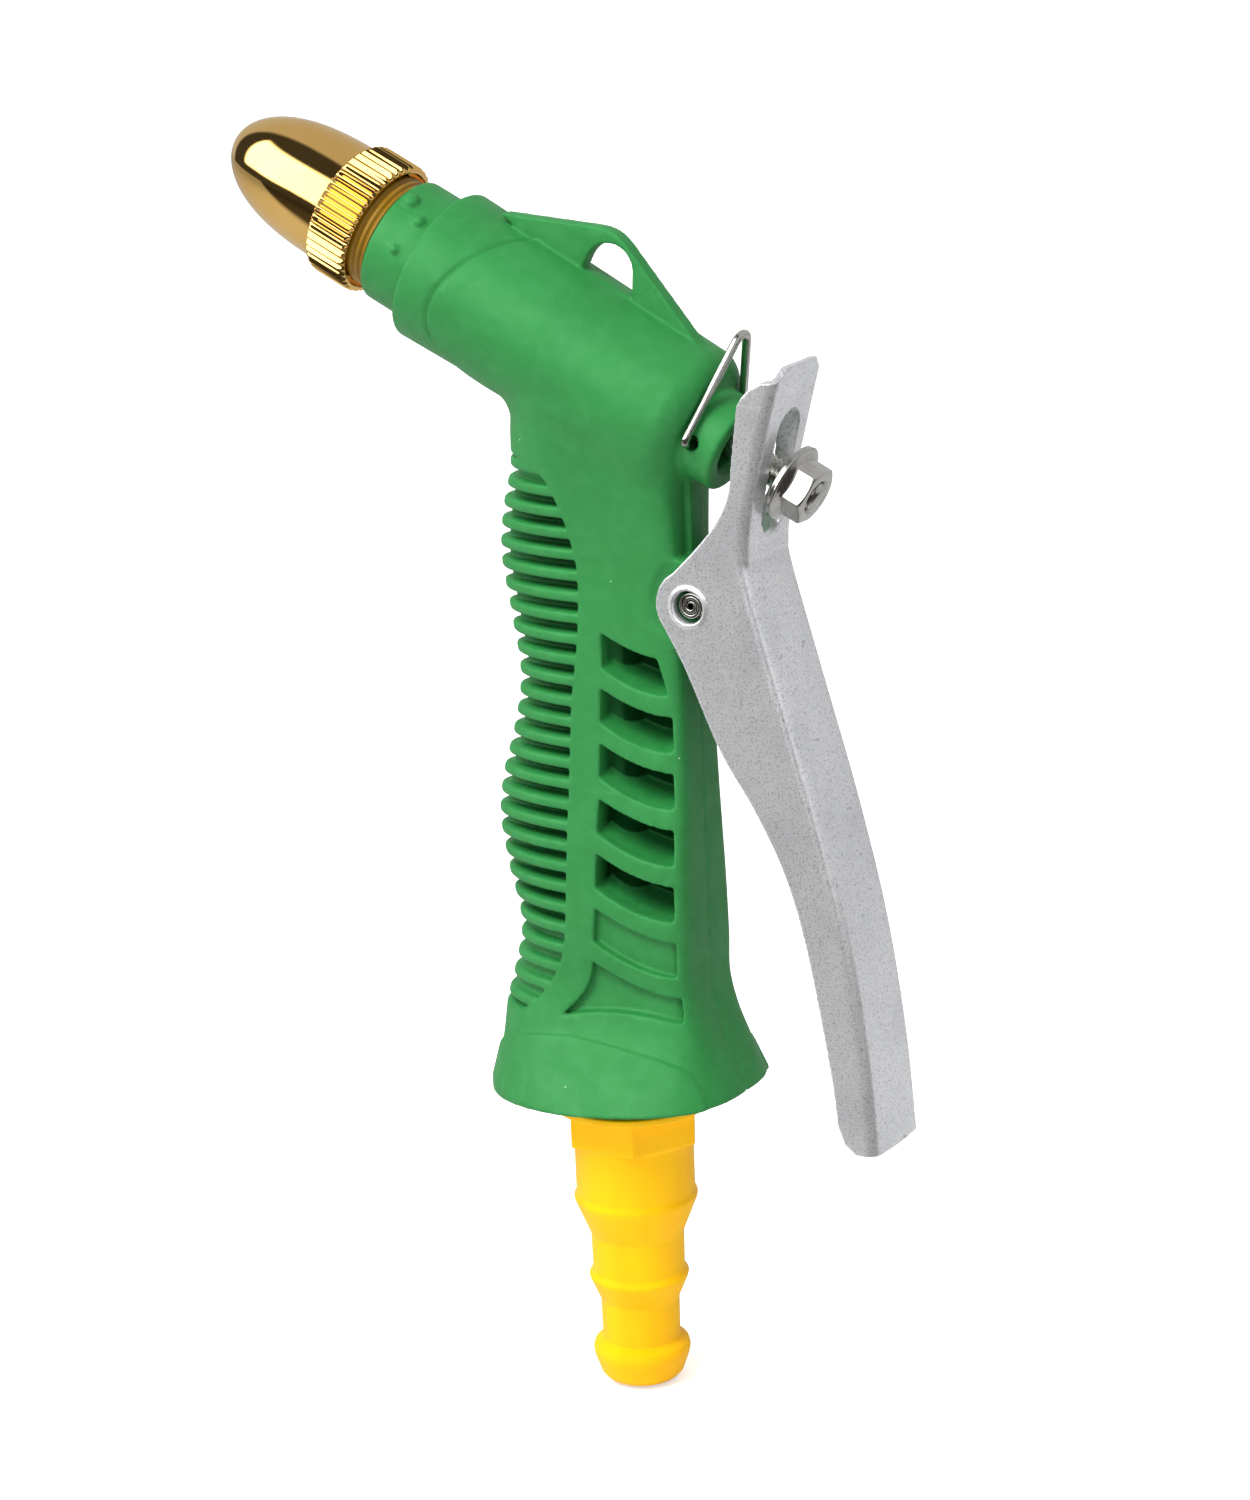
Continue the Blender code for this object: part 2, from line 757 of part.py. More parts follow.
def make_nozzle_oring():
    ring("nozzle_oring", 7.5, 0.4, 52.6, black_rubber(), barrel_matrix())


def make_flange_nut():
    """A hexagon nut with a round flange, on the stem outside the lever."""
    matrix = barrel_matrix()
    hole = STEM_R + GAP
    front = NUT_AT
    flange = [
        (hole, front),
        (NUT_FLANGE_R - 0.3, front),
        (NUT_FLANGE_R, front - 0.4),
        (NUT_FLANGE_R, front - 0.9),
        (4.3, front - 1.7),
        (hole, front - 1.7),
    ]
    nut = turned("flange_nut", flange, bright_steel(), matrix=matrix, steps=32, closed=True)

    def build(bm):
        bmesh.ops.create_cone(
            bm,
            cap_ends=True,
            segments=6,
            radius1=NUT_FLAT / math.sqrt(3) * MM,
            radius2=NUT_FLAT / math.sqrt(3) * MM,
            depth=(NUT_LENGTH - 0.8) * MM,
            matrix=Matrix.Translation((0.0, 0.0, (front - 0.8 - (NUT_LENGTH - 0.8) / 2) * MM)),
        )

    hexagon = add_object("add_nut_hexagon", mesh_from("nut_hexagon", build), None, True)
    hexagon.matrix_world = matrix
    combine(nut, hexagon, "UNION")
    hole_cut = [(0.0, front + 1.0), (hole, front + 1.0), (hole, front - 7.0), (0.0, front - 7.0)]
    combine(nut, turned("cut_nut_hole", hole_cut, helper=True, matrix=matrix, steps=32), "DIFFERENCE")


def web_line():
    """Outer side of the lever's web, from the top edge down to the foot."""
    tail = [(31.6, LEVER_TOP), (29.8, 151.8), (28.3, 143.1), (27.2, 137.4), (27.1, 134.6)]
    handle = smooth_path(
        [
            (27.5, 131.4),
            (32.3, 114.2),
            (37.4, 96.9),
            (41.7, 79.3),
            (44.5, 61.3),
            (45.8, 46.0),
        ],
        4,
    )
    return tail + handle


def flange_line():
    """Free edge of the lever's flanges, from the foot up round the ear to the top."""
    handle = smooth_path(
        [
            (39.3, 50.2),
            (38.3, 58.6),
            (34.9, 76.8),
            (31.6, 87.8),
            (27.0, 96.8),
            (21.6, 105.2),
            (16.4, 116.6),
            (12.9, 122.9),
        ],
        3,
    )
    ear = arc(PIVOT_X, PIVOT_Z, EAR_R, 205, 118, 6)
    tail = smooth_path([(17.7, 134.1), (21.9, 138.9), (24.2, 143.4), (24.9, 148.4), (26.0, 156.3)], 3)
    return [(42.2, 46.0), (40.4, 47.4), *handle, *ear, *tail, (28.2, 158.6)]


def cut_lever_top():
    """What is cut from the sheet's upper end, so that a tab is left between two low shoulders."""
    shoulder, tab_half, tab_round = 158.9, 5.0, 1.5
    outline = [(-LEVER_HALF - 2.0, shoulder), (-tab_half, shoulder)]
    outline += arc(-tab_half + tab_round, LEVER_TOP - tab_round, tab_round, 180, 90, 4)
    outline += arc(tab_half - tab_round, LEVER_TOP - tab_round, tab_round, 90, 0, 4)
    outline += [(tab_half, shoulder), (LEVER_HALF + 2.0, shoulder)]
    outline += [(LEVER_HALF + 2.0, LEVER_TOP + 4.0), (-LEVER_HALF - 2.0, LEVER_TOP + 4.0)]
    return across_prism("cut_lever_top", outline, 24.0, 36.0)


def make_lever():
    outline = flange_line() + web_line()
    lever = prism("lever", outline, LEVER_HALF, zinc_steel())
    # the hollow's outline follows the web inside the sheet, and its ends run on past the lever
    above, below = LEVER_TOP + 5.4, 40.0
    inner = [(x - SHEET, z) for x, z in web_line()]
    inner[0] = (inner[0][0] + 1.1, above)
    inner[-1] = (inner[-1][0] + 0.6, below)
    hollow = [*inner, (0.0, below), (0.0, above)]
    combine(lever, prism("cut_lever_hollow", hollow, LEVER_HALF - SHEET, helper=True), "DIFFERENCE")
    combine(lever, rod_y("cut_ear_hole", PIVOT_X, PIVOT_Z, EAR_HOLE_R, 12.0, helper=True), "DIFFERENCE")

    slot = arc(0.0, SLOT_TOP - SLOT_HALF_WIDTH, SLOT_HALF_WIDTH, 0, 180, 8)
    slot += arc(0.0, SLOT_BOTTOM + SLOT_HALF_WIDTH, SLOT_HALF_WIDTH, 180, 360, 8)
    combine(lever, across_prism("cut_lever_slot", slot, 24.0, 36.0), "DIFFERENCE")
    combine(lever, cut_lever_top(), "DIFFERENCE")


def make_pivot_pin():
    rod_y("pivot_pin", PIVOT_X, PIVOT_Z, PIN_R, PIN_HALF, bright_steel(), segments=28)


def make_lock_bail():
    """A bent wire with its two feet turned in through the boss's cross-holes."""
    foot_x, foot_z = on_barrel(BAIL_HOLE_AT)
    lean = Vector((math.sin(BAIL_LEAN), 0.0, math.cos(BAIL_LEAN)))
    foot = Vector((foot_x, 0.0, foot_z))
    half = [
        foot + Vector((0.0, -4.6, 0.0)),
        foot + Vector((0.0, 0.6 - BAIL_FOOT_Y, 0.0)),
        foot + Vector((0.0, 0.1 - BAIL_FOOT_Y, 0.0)) + lean * 0.25,
        foot + Vector((0.0, -BAIL_FOOT_Y, 0.0)) + lean * 0.9,
        foot + Vector((0.0, -BAIL_APEX_Y - 0.25, 0.0)) + lean * (BAIL_HEIGHT - 1.3),
        foot + Vector((0.0, -BAIL_APEX_Y + 0.25, 0.0)) + lean * (BAIL_HEIGHT - 0.3),
        foot + lean * BAIL_HEIGHT,
    ]
    mirror = [Vector((point.x, -point.y, point.z)) for point in reversed(half[:-1])]
    route = half + mirror
    curve = bpy.data.curves.new("lock_bail", "CURVE")
    curve.dimensions = "3D"
    curve.bevel_depth = BAIL_WIRE_R * MM
    curve.bevel_resolution = 2
    curve.use_fill_caps = True
    line = curve.splines.new("POLY")
    line.points.add(len(route) - 1)
    for point, place in zip(line.points, route):
        point.co = (*((place - foot) * MM), 1.0)
    curve.materials.append(bright_steel())
    bail = bpy.data.objects.new("lock_bail", curve)
    PARTS.objects.link(bail)
    bail.location = foot * MM


def make_hose_tail():
    profile = [
        (TAIL_BORE_R, TAIL_SPIGOT_TOP),
        (TAIL_SPIGOT_R, TAIL_SPIGOT_TOP),
        (TAIL_SPIGOT_R, TAIL_FLANGE_TOP),
        (TAIL_FLANGE_R, TAIL_FLANGE_TOP),
        (TAIL_FLANGE_R, TAIL_HEX_TOP),
        (9.2, TAIL_HEX_TOP),
        (9.2, 30.6),
        (9.55, 30.0),
        (7.15, 24.0),
        (7.15, 17.6),
        (7.75, 17.0),
        (6.05, 13.0),
        (6.05, 6.2),
        (7.5, 5.4),
        (7.5, 3.9),
        (6.0, 0.4),
        (5.6, 0.0),
        (TAIL_BORE_R, 0.0),
    ]
    tail = turned("hose_tail", profile, yellow_plastic(), steps=32, closed=True)

    def build(bm):
        bmesh.ops.create_cone(
            bm,
            cap_ends=True,
            segments=6,
            radius1=TAIL_HEX_R * MM,
            radius2=TAIL_HEX_R * MM,
            depth=(TAIL_HEX_TOP + 0.5 - TAIL_HEX_BOTTOM) * MM,
        )

    hexagon = add_object("add_tail_hexagon", mesh_from("tail_hexagon", build), None, True)
    hexagon.rotation_euler = (0.0, 0.0, math.radians(30.0))
    hexagon.location = (0.0, 0.0, (TAIL_HEX_TOP + 0.5 + TAIL_HEX_BOTTOM) / 2 * MM)
    inside = TAIL_BORE_R + 1.5
    bore = [(0.0, 60.0), (inside, 60.0), (inside, 30.0), (0.0, 30.0)]
    combine(hexagon, turned("cut_tail_way", bore, helper=True, steps=32), "DIFFERENCE")
    combine(tail, hexagon, "UNION")


def make_tail_washer():
    start = TAIL_SPIGOT_TOP + GAP
    washer("tail_washer", TAIL_BORE_R, TAIL_SPIGOT_R - 0.1, start, start + TAIL_WASHER, black_rubber())


def main():
    global PARTS, CUTTERS
    clear_scene()
    PARTS = new_collection("hose_spray_nozzle")
    CUTTERS = new_collection("cutters")
    CUTTERS.hide_render = True
    make_body()
    make_nozzle_head()
    make_nozzle_oring()
    make_spigot()
    make_spigot_washer()
    make_spray_core()
    make_stem()
    make_valve()
    make_spring_seats()
    make_retaining_clip()
    make_return_spring()
    make_gland()
    make_flange_nut()
    make_lever()
    make_pivot_pin()
    make_lock_bail()
    make_hose_tail()
    make_tail_washer()
    for obj in PARTS.objects:
        if obj.type == "MESH" and not obj.modifiers:
            smooth_round(obj)


main()
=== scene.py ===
"""Looks of the hose spray nozzle: green grip, gold bullet tip, zinc-plated lever and yellow hose tail.

Lengths are in millimetres until MM scales them. +Z runs up the grip, the nozzle points to -X, the lever is
at +X and the object is the same on both sides of Y = 0. The moulded and pressed pieces are made as distance
fields, which give every edge its own fillet, and are meshed by surface_mesh.
"""

import json
import math

import bpy
import numpy as np
from mathutils import Matrix, Vector


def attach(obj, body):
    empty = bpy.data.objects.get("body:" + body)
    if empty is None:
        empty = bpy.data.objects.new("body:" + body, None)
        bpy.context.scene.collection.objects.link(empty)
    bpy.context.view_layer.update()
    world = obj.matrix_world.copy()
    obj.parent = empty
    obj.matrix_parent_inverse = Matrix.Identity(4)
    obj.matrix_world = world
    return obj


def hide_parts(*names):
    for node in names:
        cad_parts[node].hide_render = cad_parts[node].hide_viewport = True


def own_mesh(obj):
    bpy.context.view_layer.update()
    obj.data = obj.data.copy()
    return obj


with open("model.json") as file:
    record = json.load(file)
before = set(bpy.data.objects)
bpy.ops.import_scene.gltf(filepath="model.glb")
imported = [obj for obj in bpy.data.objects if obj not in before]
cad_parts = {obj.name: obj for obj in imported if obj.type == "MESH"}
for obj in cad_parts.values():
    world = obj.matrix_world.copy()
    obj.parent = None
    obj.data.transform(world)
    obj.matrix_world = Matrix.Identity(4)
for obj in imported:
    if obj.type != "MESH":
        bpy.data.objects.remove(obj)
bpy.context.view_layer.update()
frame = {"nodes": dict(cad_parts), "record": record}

MM = 0.001

# Barrel axis: a point on it, and its rise towards the nozzle
BARREL_X, BARREL_Z = 1.0, 158.8
BARREL_RISE = math.radians(26.0)
FORWARD = (-math.cos(BARREL_RISE), math.sin(BARREL_RISE))

# Stations along the barrel, towards the nozzle
BOSS_END, DOME_END, SLEEVE_FRONT, COLLAR_FRONT = -23.3, -17.7, 31.1, 39.0
NOZZLE_REAR, KNURL_FRONT, NOZZLE_TIP = 41.7, 49.2, 69.9
KNURL_TEETH = 46
BARREL_REAR_R, SLEEVE_R, COLLAR_R, BOSS_R = 11.0, 12.3, 9.7, 7.0
DOME_ROUND = 4.0
PAD_STEP = 0.45

# Grip, by height: front, centre of the front curve, half thickness, rear and squareness of the rear
GRIP_LEVELS = (
    (156.0, -14.2, -2.0, 10.4, 14.0, 4.0),
    (150.0, -15.0, -2.5, 9.6, 14.2, 5.0),
    (144.0, -15.6, -3.0, 8.4, 14.2, 6.0),
    (138.0, -17.4, -3.0, 7.2, 14.2, 7.0),
    (131.0, -18.5, -3.0, 6.3, 14.2, 8.0),
    (121.0, -17.2, -3.0, 6.2, 14.2, 8.0),
    (111.5, -16.0, -3.0, 6.4, 14.3, 8.0),
    (103.0, -17.7, -3.0, 6.5, 14.4, 8.0),
    (96.0, -19.9, -3.0, 6.8, 14.5, 8.0),
    (89.5, -20.8, -3.0, 7.4, 14.5, 8.0),
    (82.0, -19.7, -3.0, 7.9, 14.6, 8.0),
    (72.0, -17.6, -3.0, 8.4, 14.6, 8.0),
    (66.0, -19.0, -3.0, 8.4, 14.8, 7.0),
    (60.0, -20.7, -2.6, 9.6, 16.3, 5.5),
    (54.0, -21.4, -0.5, 12.4, 18.8, 3.6),
    (48.0, -22.8, 3.0, 16.0, 21.4, 2.6),
)
BOTTOM_Z, BOTTOM_SLOPE = 48.0, 0.1

RIB_TOP, RIB_PITCH, RIB_THICK = 141.6, 3.196, 1.7
WINDOW_TOP, WINDOW_PITCH, WINDOW_COUNT, OPEN_WINDOWS = 120.7, 8.45, 7, 5
WINDOW_HEIGHT, WINDOW_FALL, WINDOW_SAG = 5.3, 0.28, 0.75
TUBE_X, TUBE_R, WATER_R, FOOT_BORE_R, FOOT_BORE_TOP = 1.8, 3.4, 2.4, 7.7, 58.6
SOCKET_R, CHAMBER_R, GLAND_R, REAR_HOLE_R = 7.5, 5.2, 4.6, 3.8
SPIGOT_SEAT, GLAND_SEAT, GLAND_END = 28.3, -9.0, -15.0
FIN_HALF, LUG_HALF, LUG_R, REAR_RIB_HALF = 1.2, 5.5, 5.0, 2.0

# Drops of plastic on the collar: station, angle in degrees from the top, and size
DROPS = ((37.0, 30, 1.3), (33.7, 43, 1.0), (34.6, 75, 0.75))

PIVOT_X, PIVOT_Z = 17.1, 126.3
LEVER_HALF, SHEET, BEND_R = 7.2, 1.2, 1.6
EAR_R, EAR_HOLE_R, PIN_R, PIN_HALF = 5.4, 2.42, 2.0, 6.5
SLOT_HALF_WIDTH, SLOT_TOP, SLOT_BOTTOM = 3.15, 155.1, 136.6
LEVER_TOP, LEVER_SHOULDER = 162.0, 159.9

NUT_AT, NUT_FLANGE_R, NUT_FLAT, NUT_LENGTH, NUT_TURN = -32.6, 5.8, 8.0, 4.8, 8.0
ROD_R, ROD_FRONT, ROD_END, THREAD_FROM, THREAD_PITCH, THREAD_DEPTH = 2.0, 26.0, -38.05, -24.0, 0.8, 0.24
SPRING_R, SPRING_WIRE_R, SPRING_TURNS, SPRING_REAR, SPRING_FRONT = 3.6, 0.4, 9.0, -7.6, 14.5
BAIL_HOLE_AT, BAIL_WIRE_R, BAIL_LEAN = -18.9, 0.65, math.radians(20.6)
BAIL_FOOT_Y, BAIL_APEX_Y, BAIL_HEIGHT = 8.6, 1.2, 15.7

TAIL_FLAT, TAIL_HEX_TOP, TAIL_HEX_BOTTOM, TAIL_BORE_R, TAIL_TOP = 18.81, 45.6, 39.7, 4.2, 56.0

# Camera: degrees, and millimetres
CAMERA_AZIMUTH, CAMERA_ELEVATION, CAMERA_ROLL = 31.3, 16.3, 2.3
CAMERA_DISTANCE, CAMERA_TARGET = 605.7, (1.18, 0.0, 101.16)
SENSOR, LENS = 36.0, 97.63

# Floor, and the key light: metres, degrees and watts
FLOOR_RADIUS, FLOOR_Z = 9.0, -0.0006
KEY_AZIMUTH, KEY_ELEVATION, KEY_DISTANCE, KEY_SIZE, KEY_POWER = -12.0, 56.0, 1.2, 0.5, 14

# What shiny plating sees: the way to the dark part of the room, and the bright windows in it, each with its
# left and right edge in radians from the front, its low and high edge, and its power
ROOM_AZIMUTH = -18.0
ROOM_LIGHTS = ((-1.3, 0.28, 0.14, 0.8, 4.4), (0.72, 1.15, -0.3, 0.75, 0.9))


# ---------------------------------------------------------------- distance fields


def round_union(a, b, r):
    """The union of two solids, with a fillet of radius r where they meet."""
    return np.maximum(r, np.minimum(a, b)) - np.hypot(np.maximum(r - a, 0), np.maximum(r - b, 0))


def round_both(a, b, r):
    """What two solids share, with its edge rounded to radius r."""
    return np.minimum(-r, np.maximum(a, b)) + np.hypot(np.maximum(r + a, 0), np.maximum(r + b, 0))


def round_cut(a, b, r):
    return round_both(a, -b, r)


def outline_distance(points, x, z):
    """Signed distance to a closed outline of (x, z) points, negative inside."""
    best = np.inf
    inside = False
    for (ax, az), (bx, bz) in zip(points, points[1:] + points[:1]):
        ex, ez = bx - ax, bz - az
        px, pz = x - ax, z - az
        t = np.clip((px * ex + pz * ez) / (ex * ex + ez * ez), 0, 1)
        best = np.minimum(best, (px - t * ex) ** 2 + (pz - t * ez) ** 2)
        if ez:
            inside = inside ^ (((az > z) != (bz > z)) & (px < pz * ex / ez))
    return np.where(inside, -1, 1) * np.sqrt(best)


def hexagon_distance(x, y, half, turn):
    """Distance to a hexagon with that half width across its flats, turned by that many degrees."""
    sides = [np.abs(x * math.cos(a) + y * math.sin(a)) for a in np.radians([turn, turn + 60, turn + 120])]
    return np.maximum.reduce(sides) - half


class Grid:
    """Sample points in a box, in millimetres. A mirrored grid holds only the half with positive y."""

    def __init__(self, low, high, step, mirrored=True):
        self.step = step
        self.mirrored = mirrored
        counts = [int(math.ceil((h - l) / step)) + 1 for l, h in zip(low, high)]
        if mirrored:
            counts[1] = int(math.ceil(high[1] / step))
            low = (low[0], step / 2, low[2])
        self.low = np.array(low, float)
        axes = [(l + step * np.arange(n)).astype(np.float32) for l, n in zip(low, counts)]
        self.x = axes[0].reshape(-1, 1, 1)
        self.y = axes[1].reshape(1, -1, 1)
        self.z = axes[2].reshape(1, 1, -1)

    def whole(self, field):
        """The field over the whole box, and the box's lowest corner."""
        if not self.mirrored:
            return field, self.low
        full = np.concatenate((field[:, ::-1], field), axis=1)
        low = self.low.copy()
        low[1] = -self.step * (field.shape[1] - 0.5)
        return full, low


def cell_corner(values, i, j, k):
    nx, ny, nz = values.shape
    return values[i : nx - 1 + i, j : ny - 1 + j, k : nz - 1 + k]


def surface_points(field):
    """One point in each cell that the zero surface crosses, in steps, and each cell's point number."""
    inside = field < 0
    count = np.zeros([n - 1 for n in field.shape], np.uint8)
    corners = [(i, j, k) for i in (0, 1) for j in (0, 1) for k in (0, 1)]
    for corner in corners:
        count += cell_corner(inside, *corner)
    active = (count > 0) & (count < 8)
    number = np.full(active.shape, -1, np.int32)
    cells = np.argwhere(active)
    number[active] = np.arange(len(cells), dtype=np.int32)
    total = np.zeros((len(cells), 3), np.float32)
    crossings = np.zeros((len(cells), 1), np.float32)
    for a in corners:
        for axis in range(3):
            if a[axis]:
                continue
            b = tuple(1 if n == axis else a[n] for n in range(3))
            va = cell_corner(field, *a)[active]
            vb = cell_corner(field, *b)[active]
            crossed = (va < 0) != (vb < 0)
            t = va / np.where(crossed, va - vb, 1)
            for n in range(3):
                total[:, n] += np.where(crossed, a[n] + (t if n == axis else 0), 0)
            crossings[:, 0] += crossed
    return cells + total / crossings, number, inside


def surface_faces(number, inside):
    """A four-sided face across each edge of the grid that the surface crosses."""
    faces = []
    for axis in range(3):
        u, v = [n for n in range(3) if n != axis]
        here = np.take(inside, range(inside.shape[axis] - 1), axis)
        there = np.take(inside, range(1, inside.shape[axis]), axis)
        crossed = np.argwhere(here != there)
        ok = (crossed[:, u] > 0) & (crossed[:, v] > 0)
        ok &= (crossed[:, u] < inside.shape[u] - 1) & (crossed[:, v] < inside.shape[v] - 1)
        crossed = crossed[ok]
        out = here[tuple(crossed.T)]
        corner_cells = []
        for du, dv in ((1, 1), (0, 1), (0, 0), (1, 0)):
            cell = crossed.copy()
            cell[:, u] -= du
            cell[:, v] -= dv
            corner_cells.append(number[tuple(cell.T)])
        quad = np.stack(corner_cells, axis=1)
        flip = out if axis == 1 else ~out
        quad[flip] = quad[flip][:, ::-1]
        faces.append(quad)
    return np.concatenate(faces)


def mesh_object(name, points, faces):
    """A smooth object from points in metres and faces of four points each."""
    mesh = bpy.data.meshes.new(name)
    mesh.vertices.add(len(points))
    mesh.vertices.foreach_set("co", np.asarray(points, np.float32).ravel())
    mesh.loops.add(faces.size)
    mesh.loops.foreach_set("vertex_index", np.asarray(faces, np.int32).ravel())
    mesh.polygons.add(len(faces))
    mesh.polygons.foreach_set("loop_start", np.arange(0, faces.size, 4, dtype=np.int32))
    mesh.update(calc_edges=True)
    mesh.shade_smooth()
    obj = bpy.data.objects.new(name, mesh)
    bpy.context.scene.collection.objects.link(obj)
    return obj


def evaluated_copy(obj):
    graph = bpy.context.evaluated_depsgraph_get()
    return bpy.data.meshes.new_from_object(obj.evaluated_get(graph))


def surface_mesh(name, grid, field, most_triangles, matrix=None, change=None):
    """The field's zero surface as an object, with its points changed, and thinned to the most triangles."""
    full, low = grid.whole(field)
    points, number, inside = surface_points(full)
    faces = surface_faces(number, inside)
    points = low + points * grid.step
    if change:
        points = change(points)
    obj = mesh_object(name, points * MM, faces)
    if 2 * len(faces) > most_triangles:
        thin = obj.modifiers.new("thin", "DECIMATE")
        thin.ratio = most_triangles / (2 * len(faces))
        mesh = evaluated_copy(obj)
        obj.modifiers.clear()
        obj.data = mesh
        mesh.shade_smooth()
    if matrix:
        obj.data.transform(matrix)
    return obj


# ---------------------------------------------------------------- outlines and paths


def barrel_matrix(station=0.0):
    """Local +Z along the barrel towards the nozzle, local Y kept, origin at the station."""
    forward = Vector((FORWARD[0], 0.0, FORWARD[1]))
    side = Vector((0.0, 1.0, 0.0))
    across = side.cross(forward)
    place = Vector((BARREL_X, 0.0, BARREL_Z)) + forward * station
    return Matrix.Translation(place * MM) @ Matrix((across, side, forward)).transposed().to_4x4()


def on_barrel(station, above=0.0):
    """(x, z) of a point on the barrel's plane of symmetry."""
    x = BARREL_X + station * FORWARD[0] + above * FORWARD[1]
    z = BARREL_Z + station * FORWARD[1] - above * FORWARD[0]
    return x, z


def arc(x, z, radius, start, end, steps):
    """Points of an arc, with its angles in degrees."""
    angles = [math.radians(start + (end - start) * i / steps) for i in range(steps + 1)]
    return [(x + radius * math.cos(angle), z + radius * math.sin(angle)) for angle in angles]


def smooth_path(points, steps=6):
    """Points on a smooth curve through the given ones."""
    p = np.array([points[0], *points, points[-1]], float)
    path = []
    for a, b, c, d in zip(p, p[1:], p[2:], p[3:]):
        for i in range(steps):
            t = i / steps
            bend = (2 * a - 5 * b + 4 * c - d) * t**2 + (3 * b - a - 3 * c + d) * t**3
            path.append(tuple(0.5 * (2 * b + (c - a) * t + bend)))
    path.append(tuple(p[-1]))
    return path


def softened(points, radius, steps=6):
    """A path of 2D or 3D points with each inner corner replaced by a curve of about that radius."""
    points = [np.array(p, float) for p in points]
    path = [points[0]]
    for before, here, after in zip(points, points[1:], points[2:]):
        reach_in, reach_out = np.linalg.norm(before - here), np.linalg.norm(after - here)
        start = here + (before - here) * min(radius / reach_in, 0.5)
        end = here + (after - here) * min(radius / reach_out, 0.5)
        for i in range(steps + 1):
            t = i / steps
            path.append(start * (1 - t) ** 2 + here * 2 * t * (1 - t) + end * t**2)
    path.append(points[-1])
    return path


def lathe(name, radius, heights, closed, matrix):
    """A mesh round Z from radii, with a row for each height and a column for each step round."""
    rows, steps = radius.shape
    angles = 2 * np.pi * np.arange(steps) / steps
    rise = np.repeat(heights[:, None], steps, axis=1)
    points = np.stack((radius * np.cos(angles), radius * np.sin(angles), rise), axis=2)
    i, j = np.meshgrid(np.arange(rows if closed else rows - 1), np.arange(steps), indexing="ij")
    ni, nj = (i + 1) % rows, (j + 1) % steps
    quads = np.stack((i * steps + j, ni * steps + j, ni * steps + nj, i * steps + nj), axis=2)
    obj = mesh_object(name, points.reshape(-1, 3) * MM, quads.reshape(-1, 4))
    obj.data.set_sharp_from_angle(angle=math.radians(40))
    obj.data.transform(matrix)
    return obj


def profile_array(profile):
    """Radius, height and weight of each point; the weight is 0 where it isn't given."""
    return np.array([(p[0], p[1], p[2] if len(p) > 2 else 0.0) for p in profile])


def turned(name, profile, steps, change=None):
    """A closed profile turned about the barrel's axis. change(angles) moves points in, by their weight."""
    profile = profile_array(profile)
    radius = np.repeat(profile[:, :1], steps, axis=1)
    if change:
        radius = radius - profile[:, 2:3] * change(2 * np.pi * np.arange(steps) / steps)[None, :]
    return lathe(name, radius, profile[:, 1], True, barrel_matrix())


def wire(name, path, radius, sides=8):
    """A round wire along a path, as a mesh with closed ends."""
    curve = bpy.data.curves.new(name, "CURVE")
    curve.dimensions = "3D"
    curve.bevel_depth = radius * MM
    curve.bevel_resolution = sides
    curve.use_fill_caps = True
    line = curve.splines.new("POLY")
    line.points.add(len(path) - 1)
    for point, place in zip(line.points, path):
        point.co = (*(c * MM for c in place), 1.0)
    made = bpy.data.objects.new(name, curve)
    bpy.context.scene.collection.objects.link(made)
    mesh = evaluated_copy(made)
    bpy.data.objects.remove(made)
    obj = bpy.data.objects.new(name, mesh)
    bpy.context.scene.collection.objects.link(obj)
    mesh.shade_smooth()
    mesh.set_sharp_from_angle(angle=math.radians(50))
    return obj


# ---------------------------------------------------------------- green body


def grip_shape(z):
    """Front, centre, half thickness, rear and squareness of the grip at each height, smoothly joined."""
    levels = np.array(GRIP_LEVELS)[::-1]
    heights = levels[:, 0]
    z = np.clip(z, heights[0], heights[-1])
    values = []
    at = np.clip(np.searchsorted(heights, z) - 1, 0, len(heights) - 2)
    t = (z - heights[at]) / (heights[at + 1] - heights[at])
    for column in levels[:, 1:].T:
        slope = np.gradient(column, heights)
        span = heights[at + 1] - heights[at]
        rise = column[at + 1] - column[at]
        enter, leave = slope[at] * span, slope[at + 1] * span
        bend = (3 * rise - 2 * enter - leave) * t**2 + (enter + leave - 2 * rise) * t**3
        values.append(column[at] + enter * t + bend)
    return [v.astype(np.float32) for v in values]


def grip_distance(x, y, z):
    """Distance to the grip's outer surface: an ellipse in front and a squarer curve behind."""
    front, centre, half, rear, square = grip_shape(z)
    ahead = x < centre
    power = np.where(ahead, 2.0, square)
    reach = np.where(ahead, centre - front, rear - centre)
    u = np.abs(x - centre) / reach
    v = np.abs(y) / half
    size = (u**power + v**power) ** (1 / power) + 1e-6
    slope = size ** (1 - power) * np.hypot(u ** (power - 1) / reach, v ** (power - 1) / half)
    return ((size - 1) / np.maximum(slope, 0.03)).astype(np.float32)


def pad_edge(turn):
    """Station of the raised pad's U-shaped edge at each angle from the barrel's top."""
    peak, station = math.radians(92), 24.7
    upper = 7.1 * (np.maximum(peak - turn, 0) / math.radians(88)) ** 1.4
    lower = 7.4 * (np.maximum(turn - peak, 0) / math.radians(54)) ** 2.7
    return station - upper - lower


